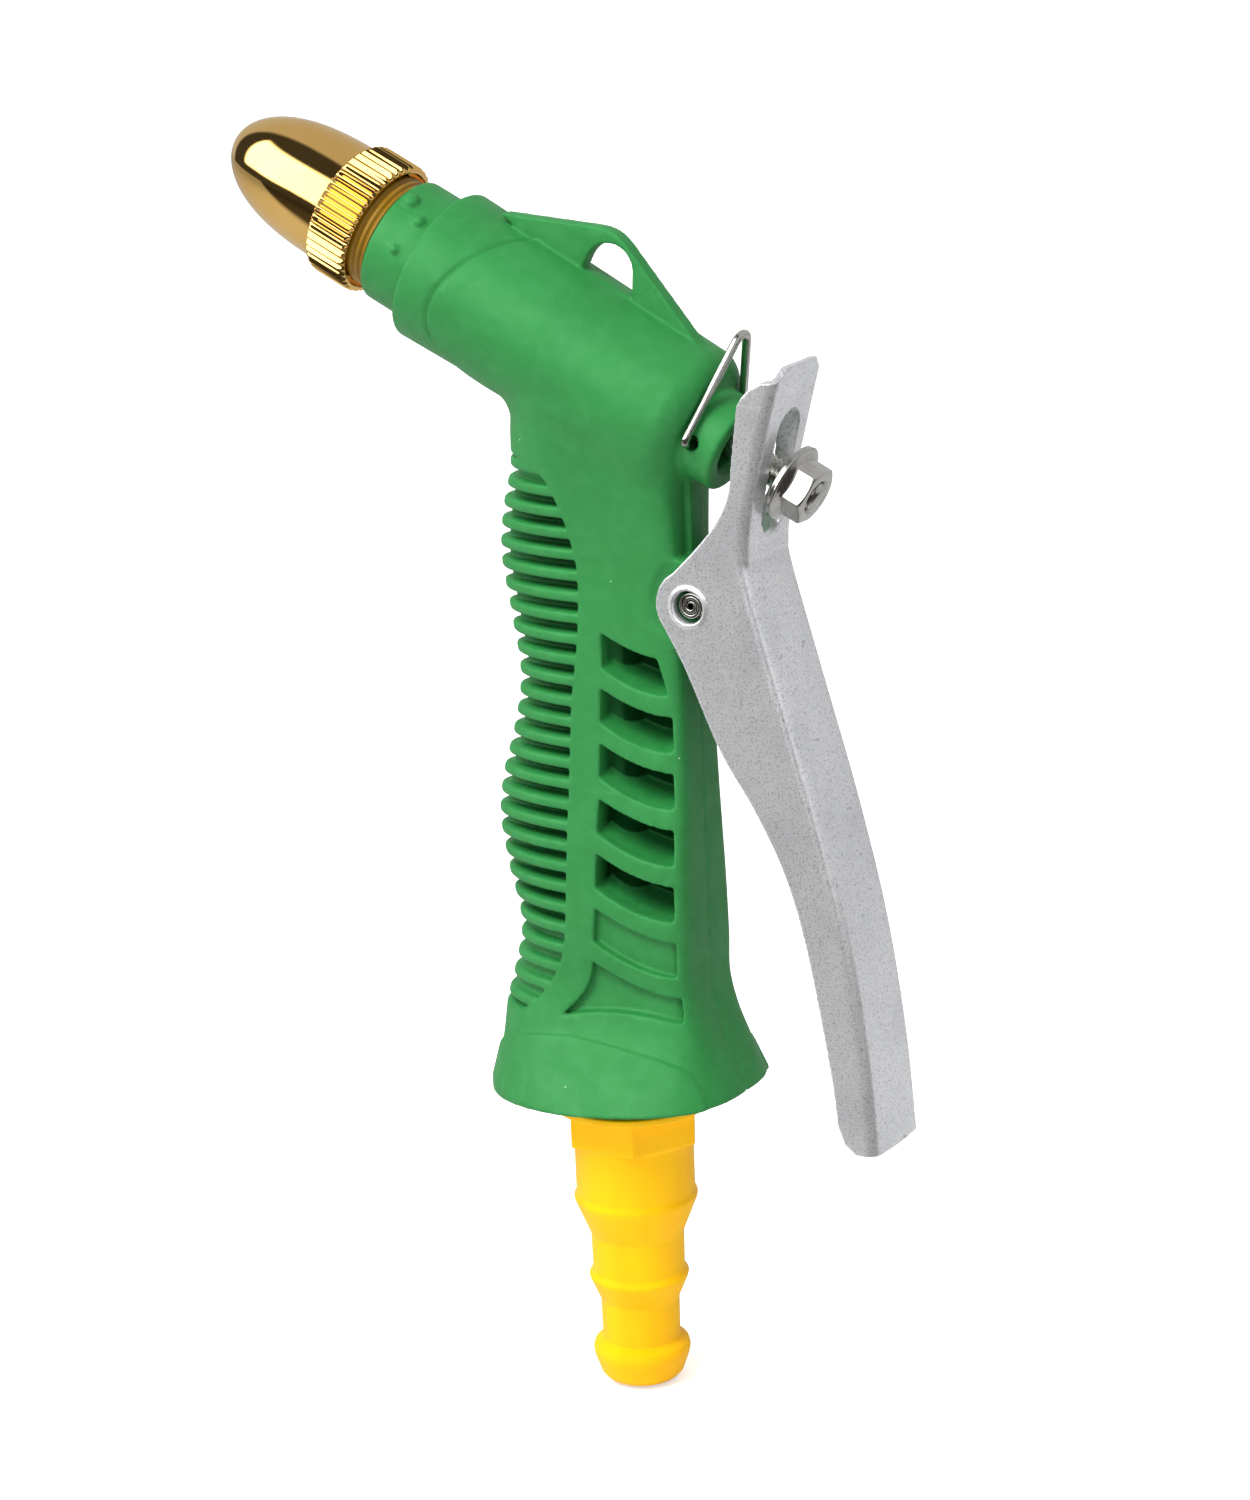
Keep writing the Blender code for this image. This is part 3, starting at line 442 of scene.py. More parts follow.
def barrel_field(s, r, turn):
    """The barrel with its raised pad, the collar in front and the boss behind."""
    taper = BARREL_REAR_R + (s - DOME_END - DOME_ROUND) * (SLEEVE_R - BARREL_REAR_R) / 44.8
    sleeve = round_both(r - taper + PAD_STEP, s - SLEEVE_FRONT, 0.3)
    edge = (s - pad_edge(turn)) * 0.9
    sleeve = sleeve + 0.3 * np.exp(-((edge - 0.35) ** 2) / 0.2)
    pad = round_both(r - taper, edge, 0.15)
    barrel = round_both(np.minimum(sleeve, pad), DOME_END - s, DOME_ROUND)
    collar = np.maximum(round_both(r - COLLAR_R, s - COLLAR_FRONT, 0.6), 20.0 - s)
    boss = np.maximum(round_both(r - BOSS_R, BOSS_END - s, 0.55), s + 10.0)
    return round_union(round_union(barrel, collar, 0.3), boss, 0.5)


def fin_distance(x, z):
    """The hanging fin seen from the side, with its D-shaped eye."""
    front = on_barrel(19.0, SLEEVE_R - 1.3)
    top = [(-15.9, 180.9), *softened([(-15.9, 180.9), (3.6, 179.4), (17.4, 162.6)], 3.0)[1:]]
    fin = outline_distance([front, *top, (15.0, 158.0), (0.0, 160.0)], x, z)
    eye = outline_distance([(-2.2, 173.4), (5.9, 169.5), *arc(2.3, 173.3, 4.0, 0, 150, 20)], x, z)
    return round_cut(fin, eye, 0.1)


def rib_zone():
    """The stretch of the front that carries the finger ribs, seen from the side."""
    edge = smooth_path(
        [
            (-12.8, 146.0), (-7.0, 144.2), (-4.5, 139.7), (-2.9, 133.6), (-2.3, 128.3), (-2.8, 119.1),
            (-4.1, 109.8), (-4.8, 100.5), (-5.4, 86.7), (-5.9, 74.3), (-6.9, 69.4), (-9.3, 65.1),
            (-12.9, 61.2), (-15.0, 60.2),
        ],
        3,
    )
    return [(-30.0, 146.0), *edge, (-30.0, 60.2)]


def window_distance(index, x, z, ledge=0.0):
    """One slanted window of the side panel, seen from the side, its lower edge raised by ledge."""
    top = WINDOW_TOP - index * WINDOW_PITCH
    left = 1.5 - 0.38 * index
    right = 12.9 + 0.25 * max(0, index - 4)
    t = (x - left) / (right - left)
    bow = 4 * t * (1 - t)
    upper = top - WINDOW_FALL * (x - left) - WINDOW_SAG * bow
    lower = upper - WINDOW_HEIGHT - 0.15 * bow
    if index == 0:
        sides = np.maximum(left - x, (x - 10.8 + (z - top + 3.0) * 0.3) * 0.96)
    elif index == WINDOW_COUNT - 1:
        lean = np.maximum(top - z, 0) / 8.0
        lower = 62.4 + 0.6 * bow
        sides = np.maximum(left - 0.2 - 4.4 * lean**2 - x, x - 13.1 - 0.12 * (top - z))
    else:
        sides = np.maximum(left - 0.05 * (top - z) - x, x - right)
    return round_both(sides, np.maximum(z - upper, lower + ledge - z) * 0.95, 0.3)


def skirt_line(x):
    """Height of the wavy upper edge of the raised skirt round the foot of the grip."""
    xs = [-24.0, -19.1, -14.0, -10.0, -4.3, 1.1, 6.3, 11.5, 14.5, 15.9, 17.2, 18.4, 20.0]
    zs = [50.0, 54.7, 56.8, 57.8, 58.6, 58.3, 57.8, 57.1, 56.2, 55.3, 53.6, 51.0, 45.0]
    return np.interp(x, xs, zs).astype(np.float32)


def cut_grip(body, grip, x, y, z):
    """Finger grooves, side windows and the clearances for the lever's ears."""
    phase = ((RIB_TOP - z) / RIB_PITCH) % 1.0
    slab = np.abs(phase - 0.5) * RIB_PITCH - (RIB_PITCH - RIB_THICK) / 2
    heights, depths = [60, 66, 73, 78, 90, 132, 138, 141, 144], [1.2, 1.3, 1.9, 4.2, 4.8, 4.4, 3.6, 2.0, 1.2]
    depth = np.interp(z, heights, depths).astype(np.float32)
    side = np.clip((y - 1.6) / 2.4, 0, 1)
    front_depth = np.minimum(depth, 1.4)
    floor = -(grip + front_depth + (depth - front_depth) * side)
    groove = round_both(np.maximum(slab, outline_distance(rib_zone(), x, z)), floor, 0.3)
    body = round_cut(body, groove, 0.55)
    tube = np.hypot(x - TUBE_X, y) - TUBE_R
    ledge = 0.3 * np.clip(6.0 - y, 0, 5.3)
    open_ones = np.minimum.reduce([window_distance(i, x, z, ledge) for i in range(OPEN_WINDOWS)])
    pocket = round_cut(round_both(open_ones, 0.7 - y, 0.4), tube, 0.4)
    body = round_cut(body, pocket, 0.22)
    shallow = np.minimum.reduce([window_distance(i, x, z) for i in range(OPEN_WINDOWS, WINDOW_COUNT)])
    body = round_cut(body, round_both(shallow, -(grip + 1.3), 0.3), 0.28)
    ear = round_both(np.hypot(x - PIVOT_X, z - PIVOT_Z) - EAR_R - 1.5, LUG_HALF + 0.05 - y, 0.8)
    return round_cut(body, ear, 0.7)


def cut_bores(body, s, r, x, y, z):
    """The spigot's socket, the valve chamber, the gland, the rear hole and the water way."""
    round_z = np.hypot(x, y)
    stretches = (
        (SOCKET_R, SPIGOT_SEAT, COLLAR_FRONT + 1),
        (CHAMBER_R, GLAND_SEAT, SPIGOT_SEAT),
        (GLAND_R, GLAND_END, GLAND_SEAT),
        (REAR_HOLE_R, BOSS_END - 1, GLAND_END),
    )
    for radius, low, high in stretches:
        body = np.maximum(body, -np.maximum(r - radius, np.maximum(low - s, s - high)))
    for radius, low, high in ((FOOT_BORE_R, 40.0, FOOT_BORE_TOP), (WATER_R, FOOT_BORE_TOP, BARREL_Z)):
        body = np.maximum(body, -np.maximum(round_z - radius, np.maximum(low - z, z - high)))
    countersink = np.maximum(r - REAR_HOLE_R - np.maximum(BOSS_END + 1.2 - s, 0) * 0.7, s - BOSS_END - 1.2)
    body = np.maximum(body, -countersink)
    hole_x, hole_z = on_barrel(BAIL_HOLE_AT)
    body = round_cut(body, np.hypot(x - hole_x - 0.3, z - hole_z) - 1.2, 0.2)
    return np.maximum(body, PIN_R + 0.3 - np.hypot(x - PIVOT_X, z - PIVOT_Z))


def store_painted_shade_depth(mesh):
    """Keeps how deep each point lies under the grip's outer surface, from 0 to 1, for the material's painted
    shade in the windows and grooves.
    """
    places = np.empty(len(mesh.vertices) * 3, np.float32)
    mesh.vertices.foreach_get("co", places)
    x, y, z = places.reshape(-1, 3).T / MM
    depth = np.clip((-grip_distance(x, y, z) - 1.5) / 2.2, 0, 1) * np.clip((143.5 - z) / 2, 0, 1)
    depth = depth * np.clip((np.hypot(x, y) - 2.6) / 0.3, 0, 1) * np.clip((z - 60) / 3, 0, 1)
    mesh.attributes.new("painted_recess_shade", "FLOAT", "POINT").data.foreach_set("value", depth.astype(np.float32))


def raise_drops(points):
    """Raises three small drops of plastic on one side of the collar."""
    for station, angle, size in DROPS:
        turn = math.radians(angle)
        x, z = on_barrel(station, COLLAR_R * math.cos(turn))
        centre = (x, -COLLAR_R * math.sin(turn), z)
        outward = np.array((FORWARD[1] * math.cos(turn), -math.sin(turn), -FORWARD[0] * math.cos(turn)))
        across = ((points - centre) ** 2).sum(axis=1)
        lift = 0.75 * np.sqrt(np.maximum(size**2 - across, 0))
        points = points + lift[:, None] * outward
    return points


def make_body():
    """The green moulding: barrel, collar, boss, fin, grip with its flared foot, lug and rear rib."""
    grid = Grid((-39.0, 0, 45.0), (26.0, 17.0, 185.5), 0.3)
    x, y, z = grid.x, grid.y, grid.z
    s = (x - BARREL_X) * FORWARD[0] + (z - BARREL_Z) * FORWARD[1]
    above = (x - BARREL_X) * FORWARD[1] - (z - BARREL_Z) * FORWARD[0]
    r = np.hypot(above, y)
    turn = np.arctan2(y, above)
    barrel = barrel_field(s, r, turn)
    grip = grip_distance(x, y, z)
    skirt = round_both(grip - 0.4, (z - skirt_line(x)) * 0.95, 0.25)
    body = round_both(round_union(grip, skirt, 0.15), z - 158.5, 6.0)
    body = round_union(body, barrel, 2.2)
    lug_end = arc(PIVOT_X, PIVOT_Z, LUG_R, -60, 60, 12)
    lug = [(8.0, 119.0), (13.0, 119.0), *lug_end, (17.4, 132.4), (8.0, 133.2)]
    body = round_union(body, round_both(outline_distance(lug, x, z), y - LUG_HALF, 0.4), 0.6)
    rib = outline_distance([(9.0, 131.0), (15.1, 131.0), (15.1, 149.0), (9.0, 149.0)], x, z)
    body = round_union(body, round_both(rib, y - REAR_RIB_HALF, 0.25), 0.4)
    body = round_union(body, round_both(fin_distance(x, z), y - FIN_HALF, 0.22), 0.35)
    body = round_both(body, (BOTTOM_Z + BOTTOM_SLOPE * x - z) * 0.995, 0.5)
    body = cut_grip(body, grip, x, y, z)
    body = cut_bores(body, s, r, x, y, z)
    seam = 0.16 * np.exp(-((y / 0.3) ** 2)) * ((x > 11) & (z < 131))
    obj = surface_mesh("grip_body", grid, body + seam.astype(np.float32), 190000, change=raise_drops)
    store_painted_shade_depth(obj.data)
    return obj


# ---------------------------------------------------------------- nozzle


def bullet_radius(station):
    along = (station - KNURL_FRONT) / (NOZZLE_TIP + 0.5 - KNURL_FRONT)
    return 9.3 * math.sqrt(max(0.0, 1.0 - along**2.5))


def knurl(angles):
    """0 on a ridge and 1 in the valley between two ridges."""
    return np.abs(np.cos(angles * KNURL_TEETH / 2)) ** 1.5


def make_nozzle_head():
    """The hollow bullet with its round outlet and its knurled ring."""
    steps = 64
    bullet = []
    for i in range(steps + 1):
        station = NOZZLE_TIP - (NOZZLE_TIP - KNURL_FRONT) * (i / steps) ** 1.6
        bullet.append((bullet_radius(station), station))
    rear = NOZZLE_REAR
    profile = [
        (1.2, NOZZLE_TIP - 0.5),
        (1.35, NOZZLE_TIP - 0.05),
        (1.6, NOZZLE_TIP),
        *bullet,
        (9.5, KNURL_FRONT - 0.15),
        (9.95, KNURL_FRONT - 0.22, 0.2),
        (10.2, KNURL_FRONT - 0.4, 0.4),
        (10.38, KNURL_FRONT - 0.65, 0.55),
        (10.5, KNURL_FRONT - 1.0, 0.62),
        (10.5, rear + 0.9, 0.62),
        (10.42, rear + 0.45, 0.6),
        (10.25, rear + 0.18, 0.5),
        (10.05, rear + 0.03, 0.35),
        (9.9, rear, 0.15),
        (9.55, rear),
        (9.4, rear + 0.15),
        (9.4, rear + 3.0),
        (8.2, rear + 3.0),
        (8.2, 55.0),
        (6.9, 56.5),
        (1.2, 67.4),
    ]
    return turned("bullet_tip", profile, KNURL_TEETH * 12, knurl)


def make_spigot():
    """The tube that the bullet screws on, with two ring grooves where it stands out of the collar."""
    outer = softened(
        [
            (6.8, 55.0), (6.8, 50.0), (7.8, 49.6), (7.8, 42.6), (8.8, 42.3), (8.8, 41.5),
            (8.35, 41.15), (8.8, 40.8), (8.8, 40.35), (8.35, 40.0), (8.8, 39.65), (8.8, 39.3),
            (7.2, 39.3),
        ],
        0.15,
        4,
    )
    inner = [(7.2, 29.7), (3.0, 29.7), (3.0, 40.0), (5.6, 42.0), (5.6, 55.0)]
    return turned("threaded_spigot", [*outer, *inner], 128)


# ---------------------------------------------------------------- valve rod, nut, spring and bail


def make_stem():
    """The valve rod: a clip groove near its front and a screw thread on its rear end."""
    steps, groove_r, groove_front, groove_rear = 64, 1.6, 16.85, 16.05
    plain = [
        (0.0, ROD_FRONT),
        (ROD_R - 0.15, ROD_FRONT),
        (ROD_R, ROD_FRONT - 0.15),
        (ROD_R, groove_front),
        (groove_r, groove_front),
        (groove_r, groove_rear),
        (ROD_R, groove_rear),
        (ROD_R, THREAD_FROM),
    ]
    row, chamfer_rows, start_rows = THREAD_PITCH / 8, 4, 6
    count = int((THREAD_FROM - ROD_END) / row) - chamfer_rows
    threaded = [(ROD_R, THREAD_FROM - row * i, min(1.0, i / start_rows)) for i in range(1, count + 1)]
    end = [(1.75, ROD_END + 0.3), (1.45, ROD_END + 0.05), (0.0, ROD_END)]
    profile = profile_array(plain + threaded + end)
    angles = 2 * np.pi * np.arange(steps) / steps
    phase = (profile[:, 1:2] / THREAD_PITCH - angles[None, :] / (2 * np.pi)) % 1.0
    tooth = THREAD_DEPTH * (1 - np.abs(2 * phase - 1) * 2)
    radius = profile[:, :1] + profile[:, 2:3] * tooth
    return lathe("valve_rod", radius, profile[:, 1], False, barrel_matrix())


def make_flange_nut():
    """A hexagon nut with chamfered corners on a round, slightly coned flange."""
    half = NUT_FLANGE_R + 0.4
    grid = Grid((-half, 0, -NUT_LENGTH - 0.6), (half, half, 0.5), 0.11)
    x, y, z = grid.x, grid.y, grid.z
    r = np.hypot(x, y)
    rim = round_both(round_both(r - NUT_FLANGE_R, z, 0.2), -1.0 - z, 0.3)
    cone = np.maximum((r - NUT_FLANGE_R + 0.3 - (z + 1.0) * 2.2) * 0.42, np.maximum(z + 0.8, -1.9 - z))
    hexagon = round_both(hexagon_distance(x, y, NUT_FLAT / 2, NUT_TURN), -NUT_LENGTH - z, 0.1)
    hexagon = np.maximum(hexagon, z + 0.3)
    chamfer = (r - 3.9 - (z + NUT_LENGTH) * 1.7) * 0.5
    hexagon = round_both(hexagon, chamfer, 0.15)
    nut = round_union(round_union(rim, cone, 0.2), hexagon, 0.35)
    hole = np.minimum(r - 2.3, (r - 2.75 + (z + NUT_LENGTH)) * 0.7)
    hole = np.where(z < -1.0, hole, r - 2.3)
    return surface_mesh("hexagon_nut", grid, round_cut(nut, hole, 0.1), 40000, barrel_matrix(NUT_AT))


def make_return_spring():
    """A compression spring with its end coils closed."""
    closed, closed_rise = 0.9, 0.85
    open_rise = SPRING_FRONT - SPRING_REAR - 2 * closed * closed_rise
    count = int(SPRING_TURNS * (28))
    path = []
    for i in range(count + 1):
        turn = SPRING_TURNS * i / count
        share = min(max((turn - closed) / (SPRING_TURNS - 2 * closed), 0.0), 1.0)
        ends = min(turn, closed) + max(turn - SPRING_TURNS + closed, 0.0)
        rise = SPRING_REAR + closed_rise * ends + open_rise * share
        angle = 2 * math.pi * turn
        path.append((SPRING_R * math.cos(angle), SPRING_R * math.sin(angle), rise))
    spring = wire("coil_spring", path, SPRING_WIRE_R, 4)
    spring.data.transform(barrel_matrix())
    return spring


def make_bail():
    """The bent wire, with its feet turned in through the boss's cross-holes."""
    foot_x, foot_z = on_barrel(BAIL_HOLE_AT)
    inner_y = 4.6

    def place(y, up):
        return (foot_x + up * math.sin(BAIL_LEAN), y, foot_z + up * math.cos(BAIL_LEAN))

    half = [place(-inner_y, 0.0), place(-BAIL_FOOT_Y, 0.0), place(-BAIL_APEX_Y, BAIL_HEIGHT)]
    route = half + [(x, -y, z) for x, y, z in reversed(half)]
    return wire("wire_bail", softened(route, 1.4, 10), BAIL_WIRE_R, 6)


def make_pivot_pin():
    """A coiled spring pin: one strip rolled up, with its seam showing on the ends."""
    grid = Grid((-2.3, -PIN_HALF - 0.4, -2.3), (2.3, PIN_HALF + 0.4, 2.3), 0.08, False)
    x, y, z = grid.x, grid.y, grid.z
    r = np.hypot(x, z)
    angle = np.arctan2(z, x)
    rod = round_both(r - PIN_R, np.abs(y) - PIN_HALF, 0.25)
    wrap = 0.72
    turns = ((PIN_R - r) / wrap - (angle + 2.2) / (2 * np.pi)) % 1.0
    slit = np.maximum(np.minimum(turns, 1 - turns) * wrap - 0.09, r - PIN_R - 1)
    slit = np.maximum(slit, 0.55 - r)
    pin = np.maximum(rod, -np.minimum(slit + 0 * y, r - 0.5))
    matrix = Matrix.Translation(Vector((PIVOT_X, 0, PIVOT_Z)) * MM)
    return surface_mesh("coiled_pin", grid, pin, 60000, matrix)


# ---------------------------------------------------------------- lever


def web_line():
    """Outer side of the lever's web, from the top edge down to the foot."""
    tail = [(33.4, LEVER_TOP + 0.3), (30.6, 152.2), (28.3, 143.1)]
    bend = [(27.3, 137.6), (27.0, 134.4), (27.5, 130.6)]
    handle = [(32.3, 114.2), (37.4, 96.9), (41.7, 79.3), (44.5, 61.3), (45.8, 46.0)]
    return smooth_path(tail + bend + handle, 6)


def flange_line():
    """Free edge of the lever's flanges, from the foot up round the ear to the top."""
    handle = smooth_path(
        [
            (39.3, 50.2), (38.3, 58.6), (34.9, 76.8), (31.6, 87.8), (27.0, 96.8), (21.6, 105.2),
            (16.4, 116.6), (12.9, 122.9),
        ],
        5,
    )
    ear = arc(PIVOT_X, PIVOT_Z, EAR_R, 205, 118, 14)
    tail = smooth_path([(17.7, 134.1), (21.9, 138.9), (24.2, 143.4), (24.9, 148.4), (26.0, 156.3)], 6)
    top = [(26.8, 157.6), (28.0, 158.8), (31.2, 160.6), (31.8, LEVER_TOP)]
    return [(42.2, 46.0), (40.4, 47.4), *handle, *ear, *tail, *top]


def make_lever():
    """A sheet-steel channel with ears, a slot in its tail and a step at its upper edge."""
    grid = Grid((10.5, 0, 45.0), (47.0, 8.4, 162.0), 0.22)
    x, y, z = grid.x, grid.y, grid.z
    line = web_line()
    beyond = [(33.6, 172.0), *line, (46.9, 34.0), (-60.0, 34.0), (-60.0, 172.0)]
    web = outline_distance(beyond, x, z) + 0.008 * y**2
    outer = round_both(web, y - LEVER_HALF, BEND_R)
    outer = round_both(outer, outline_distance(flange_line() + line, x, z), 0.12)
    hollow = round_both(web + SHEET, y - LEVER_HALF + SHEET, BEND_R - SHEET)
    lever = round_cut(outer, hollow, 0.12)
    step_in = np.clip((6.9 - y) / 4.2, 0, 1)
    top = LEVER_SHOULDER + (LEVER_TOP - LEVER_SHOULDER + 0.6) * step_in**2 * (3 - 2 * step_in)
    lever = round_both(lever, z - np.minimum(top, LEVER_TOP), 0.12)
    middle, run = (SLOT_TOP + SLOT_BOTTOM) / 2, (SLOT_TOP - SLOT_BOTTOM) / 2 - SLOT_HALF_WIDTH
    slot = np.hypot(y, np.maximum(np.abs(z - middle) - run, 0)) - SLOT_HALF_WIDTH
    lever = round_cut(lever, np.maximum(slot, 22.0 - x), 0.12)
    ear = np.hypot(x - PIVOT_X, z - PIVOT_Z)
    rim = np.hypot(ear - EAR_HOLE_R - 0.35, y - LEVER_HALF) - 0.3
    lever = round_cut(round_union(lever, rim, 0.15), ear - EAR_HOLE_R, 0.1)
    return surface_mesh("squeeze_lever", grid, lever, 150000)


# ---------------------------------------------------------------- hose tail


def make_hose_tail():
    """The hose tail with its flange, spanner collar and barbs."""
    grid = Grid((-13.6, 0, -0.6), (13.6, 13.6, 56.6), 0.22)
    x, y, z = grid.x, grid.y, grid.z
    r = np.hypot(x, y)
    profile = [
        (0.0, TAIL_TOP), (7.4, TAIL_TOP), (7.4, 46.6), (12.4, 46.6), (12.4, 45.4), (9.2, 45.4),
        (9.15, 31.0), (9.55, 30.2), (9.45, 29.6), (7.2, 24.0), (7.1, 17.9), (7.75, 17.1), (7.6, 16.5),
        (6.1, 13.0), (6.0, 6.4), (7.3, 5.6), (7.55, 4.7), (7.4, 3.7), (6.4, 0.9), (5.5, 0.0),
        (0.0, 0.0),
    ]
    tail = outline_distance(profile, r, z + 0 * r)
    collar = np.maximum(z - TAIL_HEX_TOP, TAIL_HEX_BOTTOM - z)
    hexagon = round_both(hexagon_distance(x, y, TAIL_FLAT / 2, 30.0), collar, 0.3)
    tail = round_union(tail, hexagon, 0.25)
    tail = round_cut(tail, r - TAIL_BORE_R, 0.3)
    return surface_mesh("barbed_tail", grid, tail, 110000)


# ---------------------------------------------------------------- materials


def add_node(tree, kind, inputs=(), **settings):
    """A node with its settings, and its inputs set or linked."""
    made = tree.nodes.new(kind)
    for key, value in settings.items():
        setattr(made, key, value)
    for key, value in dict(inputs).items():
        if isinstance(value, bpy.types.NodeSocket):
            tree.links.new(value, made.inputs[key])
        else:
            made.inputs[key].default_value = value
    return made


class Shade:
    """A Principled material, and the procedural patterns that drive it. Sizes are in millimetres."""

    def __init__(self, name, colour, roughness, metallic=0.0, **inputs):
        self.material = bpy.data.materials.new(name)
        self.material.use_nodes = True
        self.tree = self.material.node_tree
        self.shader = self.tree.nodes["Principled BSDF"]
        self.colour = self.rgb(colour)
        self.rough = self.value(roughness)
        self.shader.inputs["Metallic"].default_value = metallic
        for key, value in inputs.items():
            self.shader.inputs[key.replace("_", " ")].default_value = value
        self.height = None
        self.place = add_node(self.tree, "ShaderNodeTexCoord").outputs["Object"]

    def rgb(self, colour):
        made = add_node(self.tree, "ShaderNodeRGB")
        made.outputs[0].default_value = (*colour, 1.0)
        return made.outputs[0]

    def value(self, number):
        made = add_node(self.tree, "ShaderNodeValue")
        made.outputs[0].default_value = number
        return made.outputs[0]

    def stretched(self, sizes):
        """Coordinates in which a pattern of size 1 has these sizes along x, y and z."""
        scale = [1 / (size * MM) for size in sizes]
        made = add_node(self.tree, "ShaderNodeMapping", {"Vector": self.place, "Scale": scale})
        return made.outputs[0]

    def noise(self, size, detail=2.0, low=0.4, high=0.6, sizes=None):
        """Noise as a value from 0 to 1, cut off below low and above high."""
        vector = self.stretched(sizes or (size, size, size))
        noise = add_node(self.tree, "ShaderNodeTexNoise", {"Vector": vector, "Scale": 1.0, "Detail": detail})
        return self.ramp(noise.outputs[0], low, high)

    def ramp(self, value, low, high):
        inputs = {"Value": value, "From Min": low, "From Max": high}
        return add_node(self.tree, "ShaderNodeMapRange", inputs, interpolation_type="SMOOTHSTEP").outputs[0]

    def specks(self, spacing, size, share):
        """Round specks of a size, in that share of the cells of a Voronoi pattern."""
        vector = self.stretched((spacing, spacing, spacing))
        cells = add_node(self.tree, "ShaderNodeTexVoronoi", {"Vector": vector, "Scale": 1.0})
        near = self.ramp(cells.outputs["Distance"], size / spacing, 0.4 * size / spacing)
        pick = add_node(self.tree, "ShaderNodeSeparateColor", {"Color": cells.outputs["Color"]}).outputs[0]
        chosen = add_node(self.tree, "ShaderNodeMath", {0: pick, 1: share}, operation="LESS_THAN").outputs[0]
        return add_node(self.tree, "ShaderNodeMath", {0: near, 1: chosen}, operation="MULTIPLY").outputs[0]

    def tint(self, mask, colour, amount=1.0):
        """Mixes a colour in by a mask."""
        mask = add_node(self.tree, "ShaderNodeMath", {0: mask, 1: amount}, operation="MULTIPLY").outputs[0]
        inputs = {"Fac": mask, "Color1": self.colour, "Color2": (*colour, 1.0)}
        self.colour = add_node(self.tree, "ShaderNodeMixRGB", inputs).outputs[0]

    def roughen(self, mask, amount):
        inputs = {0: mask, 1: amount, 2: self.rough}
        self.rough = add_node(self.tree, "ShaderNodeMath", inputs, operation="MULTIPLY_ADD").outputs[0]

    def emboss(self, mask, depth):
        """Raises the surface by the mask, to that depth."""
        inputs = {"Height": mask, "Distance": depth * MM, "Strength": 1.0}
        bump = add_node(self.tree, "ShaderNodeBump", inputs)
        if self.height:
            self.tree.links.new(self.height, bump.inputs["Normal"])
        self.height = bump.outputs[0]

    def done(self):
        self.tree.links.new(self.colour, self.shader.inputs["Base Color"])
        self.tree.links.new(self.rough, self.shader.inputs["Roughness"])
        if self.height:
            self.tree.links.new(self.height, self.shader.inputs["Normal"])
        return self.material


def painted_recess_shade_mask(shade):
    """Painted shade: 1 deep inside the windows and grooves, where shadow falls, and less on surfaces that
    face up to the light.
    """
    tree = shade.tree
    depth = add_node(tree, "ShaderNodeAttribute", attribute_name="painted_recess_shade").outputs["Fac"]
    normal = add_node(tree, "ShaderNodeNewGeometry").outputs["Normal"]
    rise = add_node(tree, "ShaderNodeSeparateXYZ", {0: normal}).outputs["Z"]
    return math_node(tree, "MULTIPLY", depth, smooth_step(tree, rise, 0.2, 0.8, 1.0, 0.35))


def green_plastic():
    shade = Shade("green_plastic_moulded", (0.022, 0.205, 0.046), 0.46)
    shade.tint(shade.noise(14.0, 3.0, 0.35, 0.65), (0.019, 0.178, 0.040), 0.6)
    shade.tint(shade.noise(2.2, 4.0, 0.45, 0.62), (0.033, 0.231, 0.062), 0.35)
    painted_recess_shade = painted_recess_shade_mask(shade)
    # painted shade: the green is darkened deep in the windows and grooves, less where surfaces face up, and
    # its specular is lowered there
    shade.tint(painted_recess_shade, (0.001, 0.022, 0.004), 0.95)
    gloss = math_node(shade.tree, "MULTIPLY_ADD", painted_recess_shade, -0.27, 0.28)
    shade.tree.links.new(gloss, shade.shader.inputs["Specular IOR Level"])
    shade.tint(shade.specks(3.4, 0.16, 0.1), (0.55, 0.72, 0.5), 0.8)
    shade.tint(shade.specks(5.2, 0.22, 0.08), (0.01, 0.06, 0.02), 0.8)
    shade.roughen(shade.noise(5.0, 3.0, 0.4, 0.65), 0.09)
    shade.emboss(shade.noise(0.35, 2.0, 0.3, 0.7), 0.006)
    shade.emboss(shade.noise(4.0, 1.0, 0.3, 0.7), 0.012)
    return shade.done()


def yellow_plastic():
    shade = Shade("yellow_plastic_moulded", (0.97, 0.52, 0.002), 0.4, Specular_IOR_Level=0.12)
    shade.tint(shade.noise(6.0, 2.0, 0.4, 0.7, sizes=(5.0, 5.0, 14.0)), (0.92, 0.45, 0.002), 0.6)
    shade.tint(shade.specks(4.4, 0.16, 0.08), (0.5, 0.28, 0.02), 0.7)
    shade.emboss(shade.noise(0.4, 2.0, 0.3, 0.7), 0.006)
    shade.emboss(shade.noise(0.0, 1.0, 0.35, 0.65, sizes=(2.5, 2.5, 20.0)), 0.03)
    return shade.done()


def gold_plate():
    shade = Shade("gold_plate_mirror", (0.78, 0.48, 0.14), 0.05, 1.0)
    shade.tint(shade.noise(9.0, 2.0, 0.35, 0.7), (0.82, 0.54, 0.19), 0.6)
    shade.roughen(shade.noise(0.9, 4.0, 0.55, 0.75), 0.05)
    shade.emboss(shade.noise(5.0, 1.0, 0.2, 0.8), 0.012)
    return shade.done()


def amber_plastic():
    shade = Shade("amber_plastic_turned", (0.24, 0.125, 0.006), 0.36, Specular_IOR_Level=0.35)
    shade.tint(shade.noise(3.0, 2.0, 0.4, 0.65), (0.18, 0.085, 0.004), 0.6)
    shade.emboss(shade.noise(0.4, 2.0, 0.3, 0.7), 0.006)
    return shade.done()


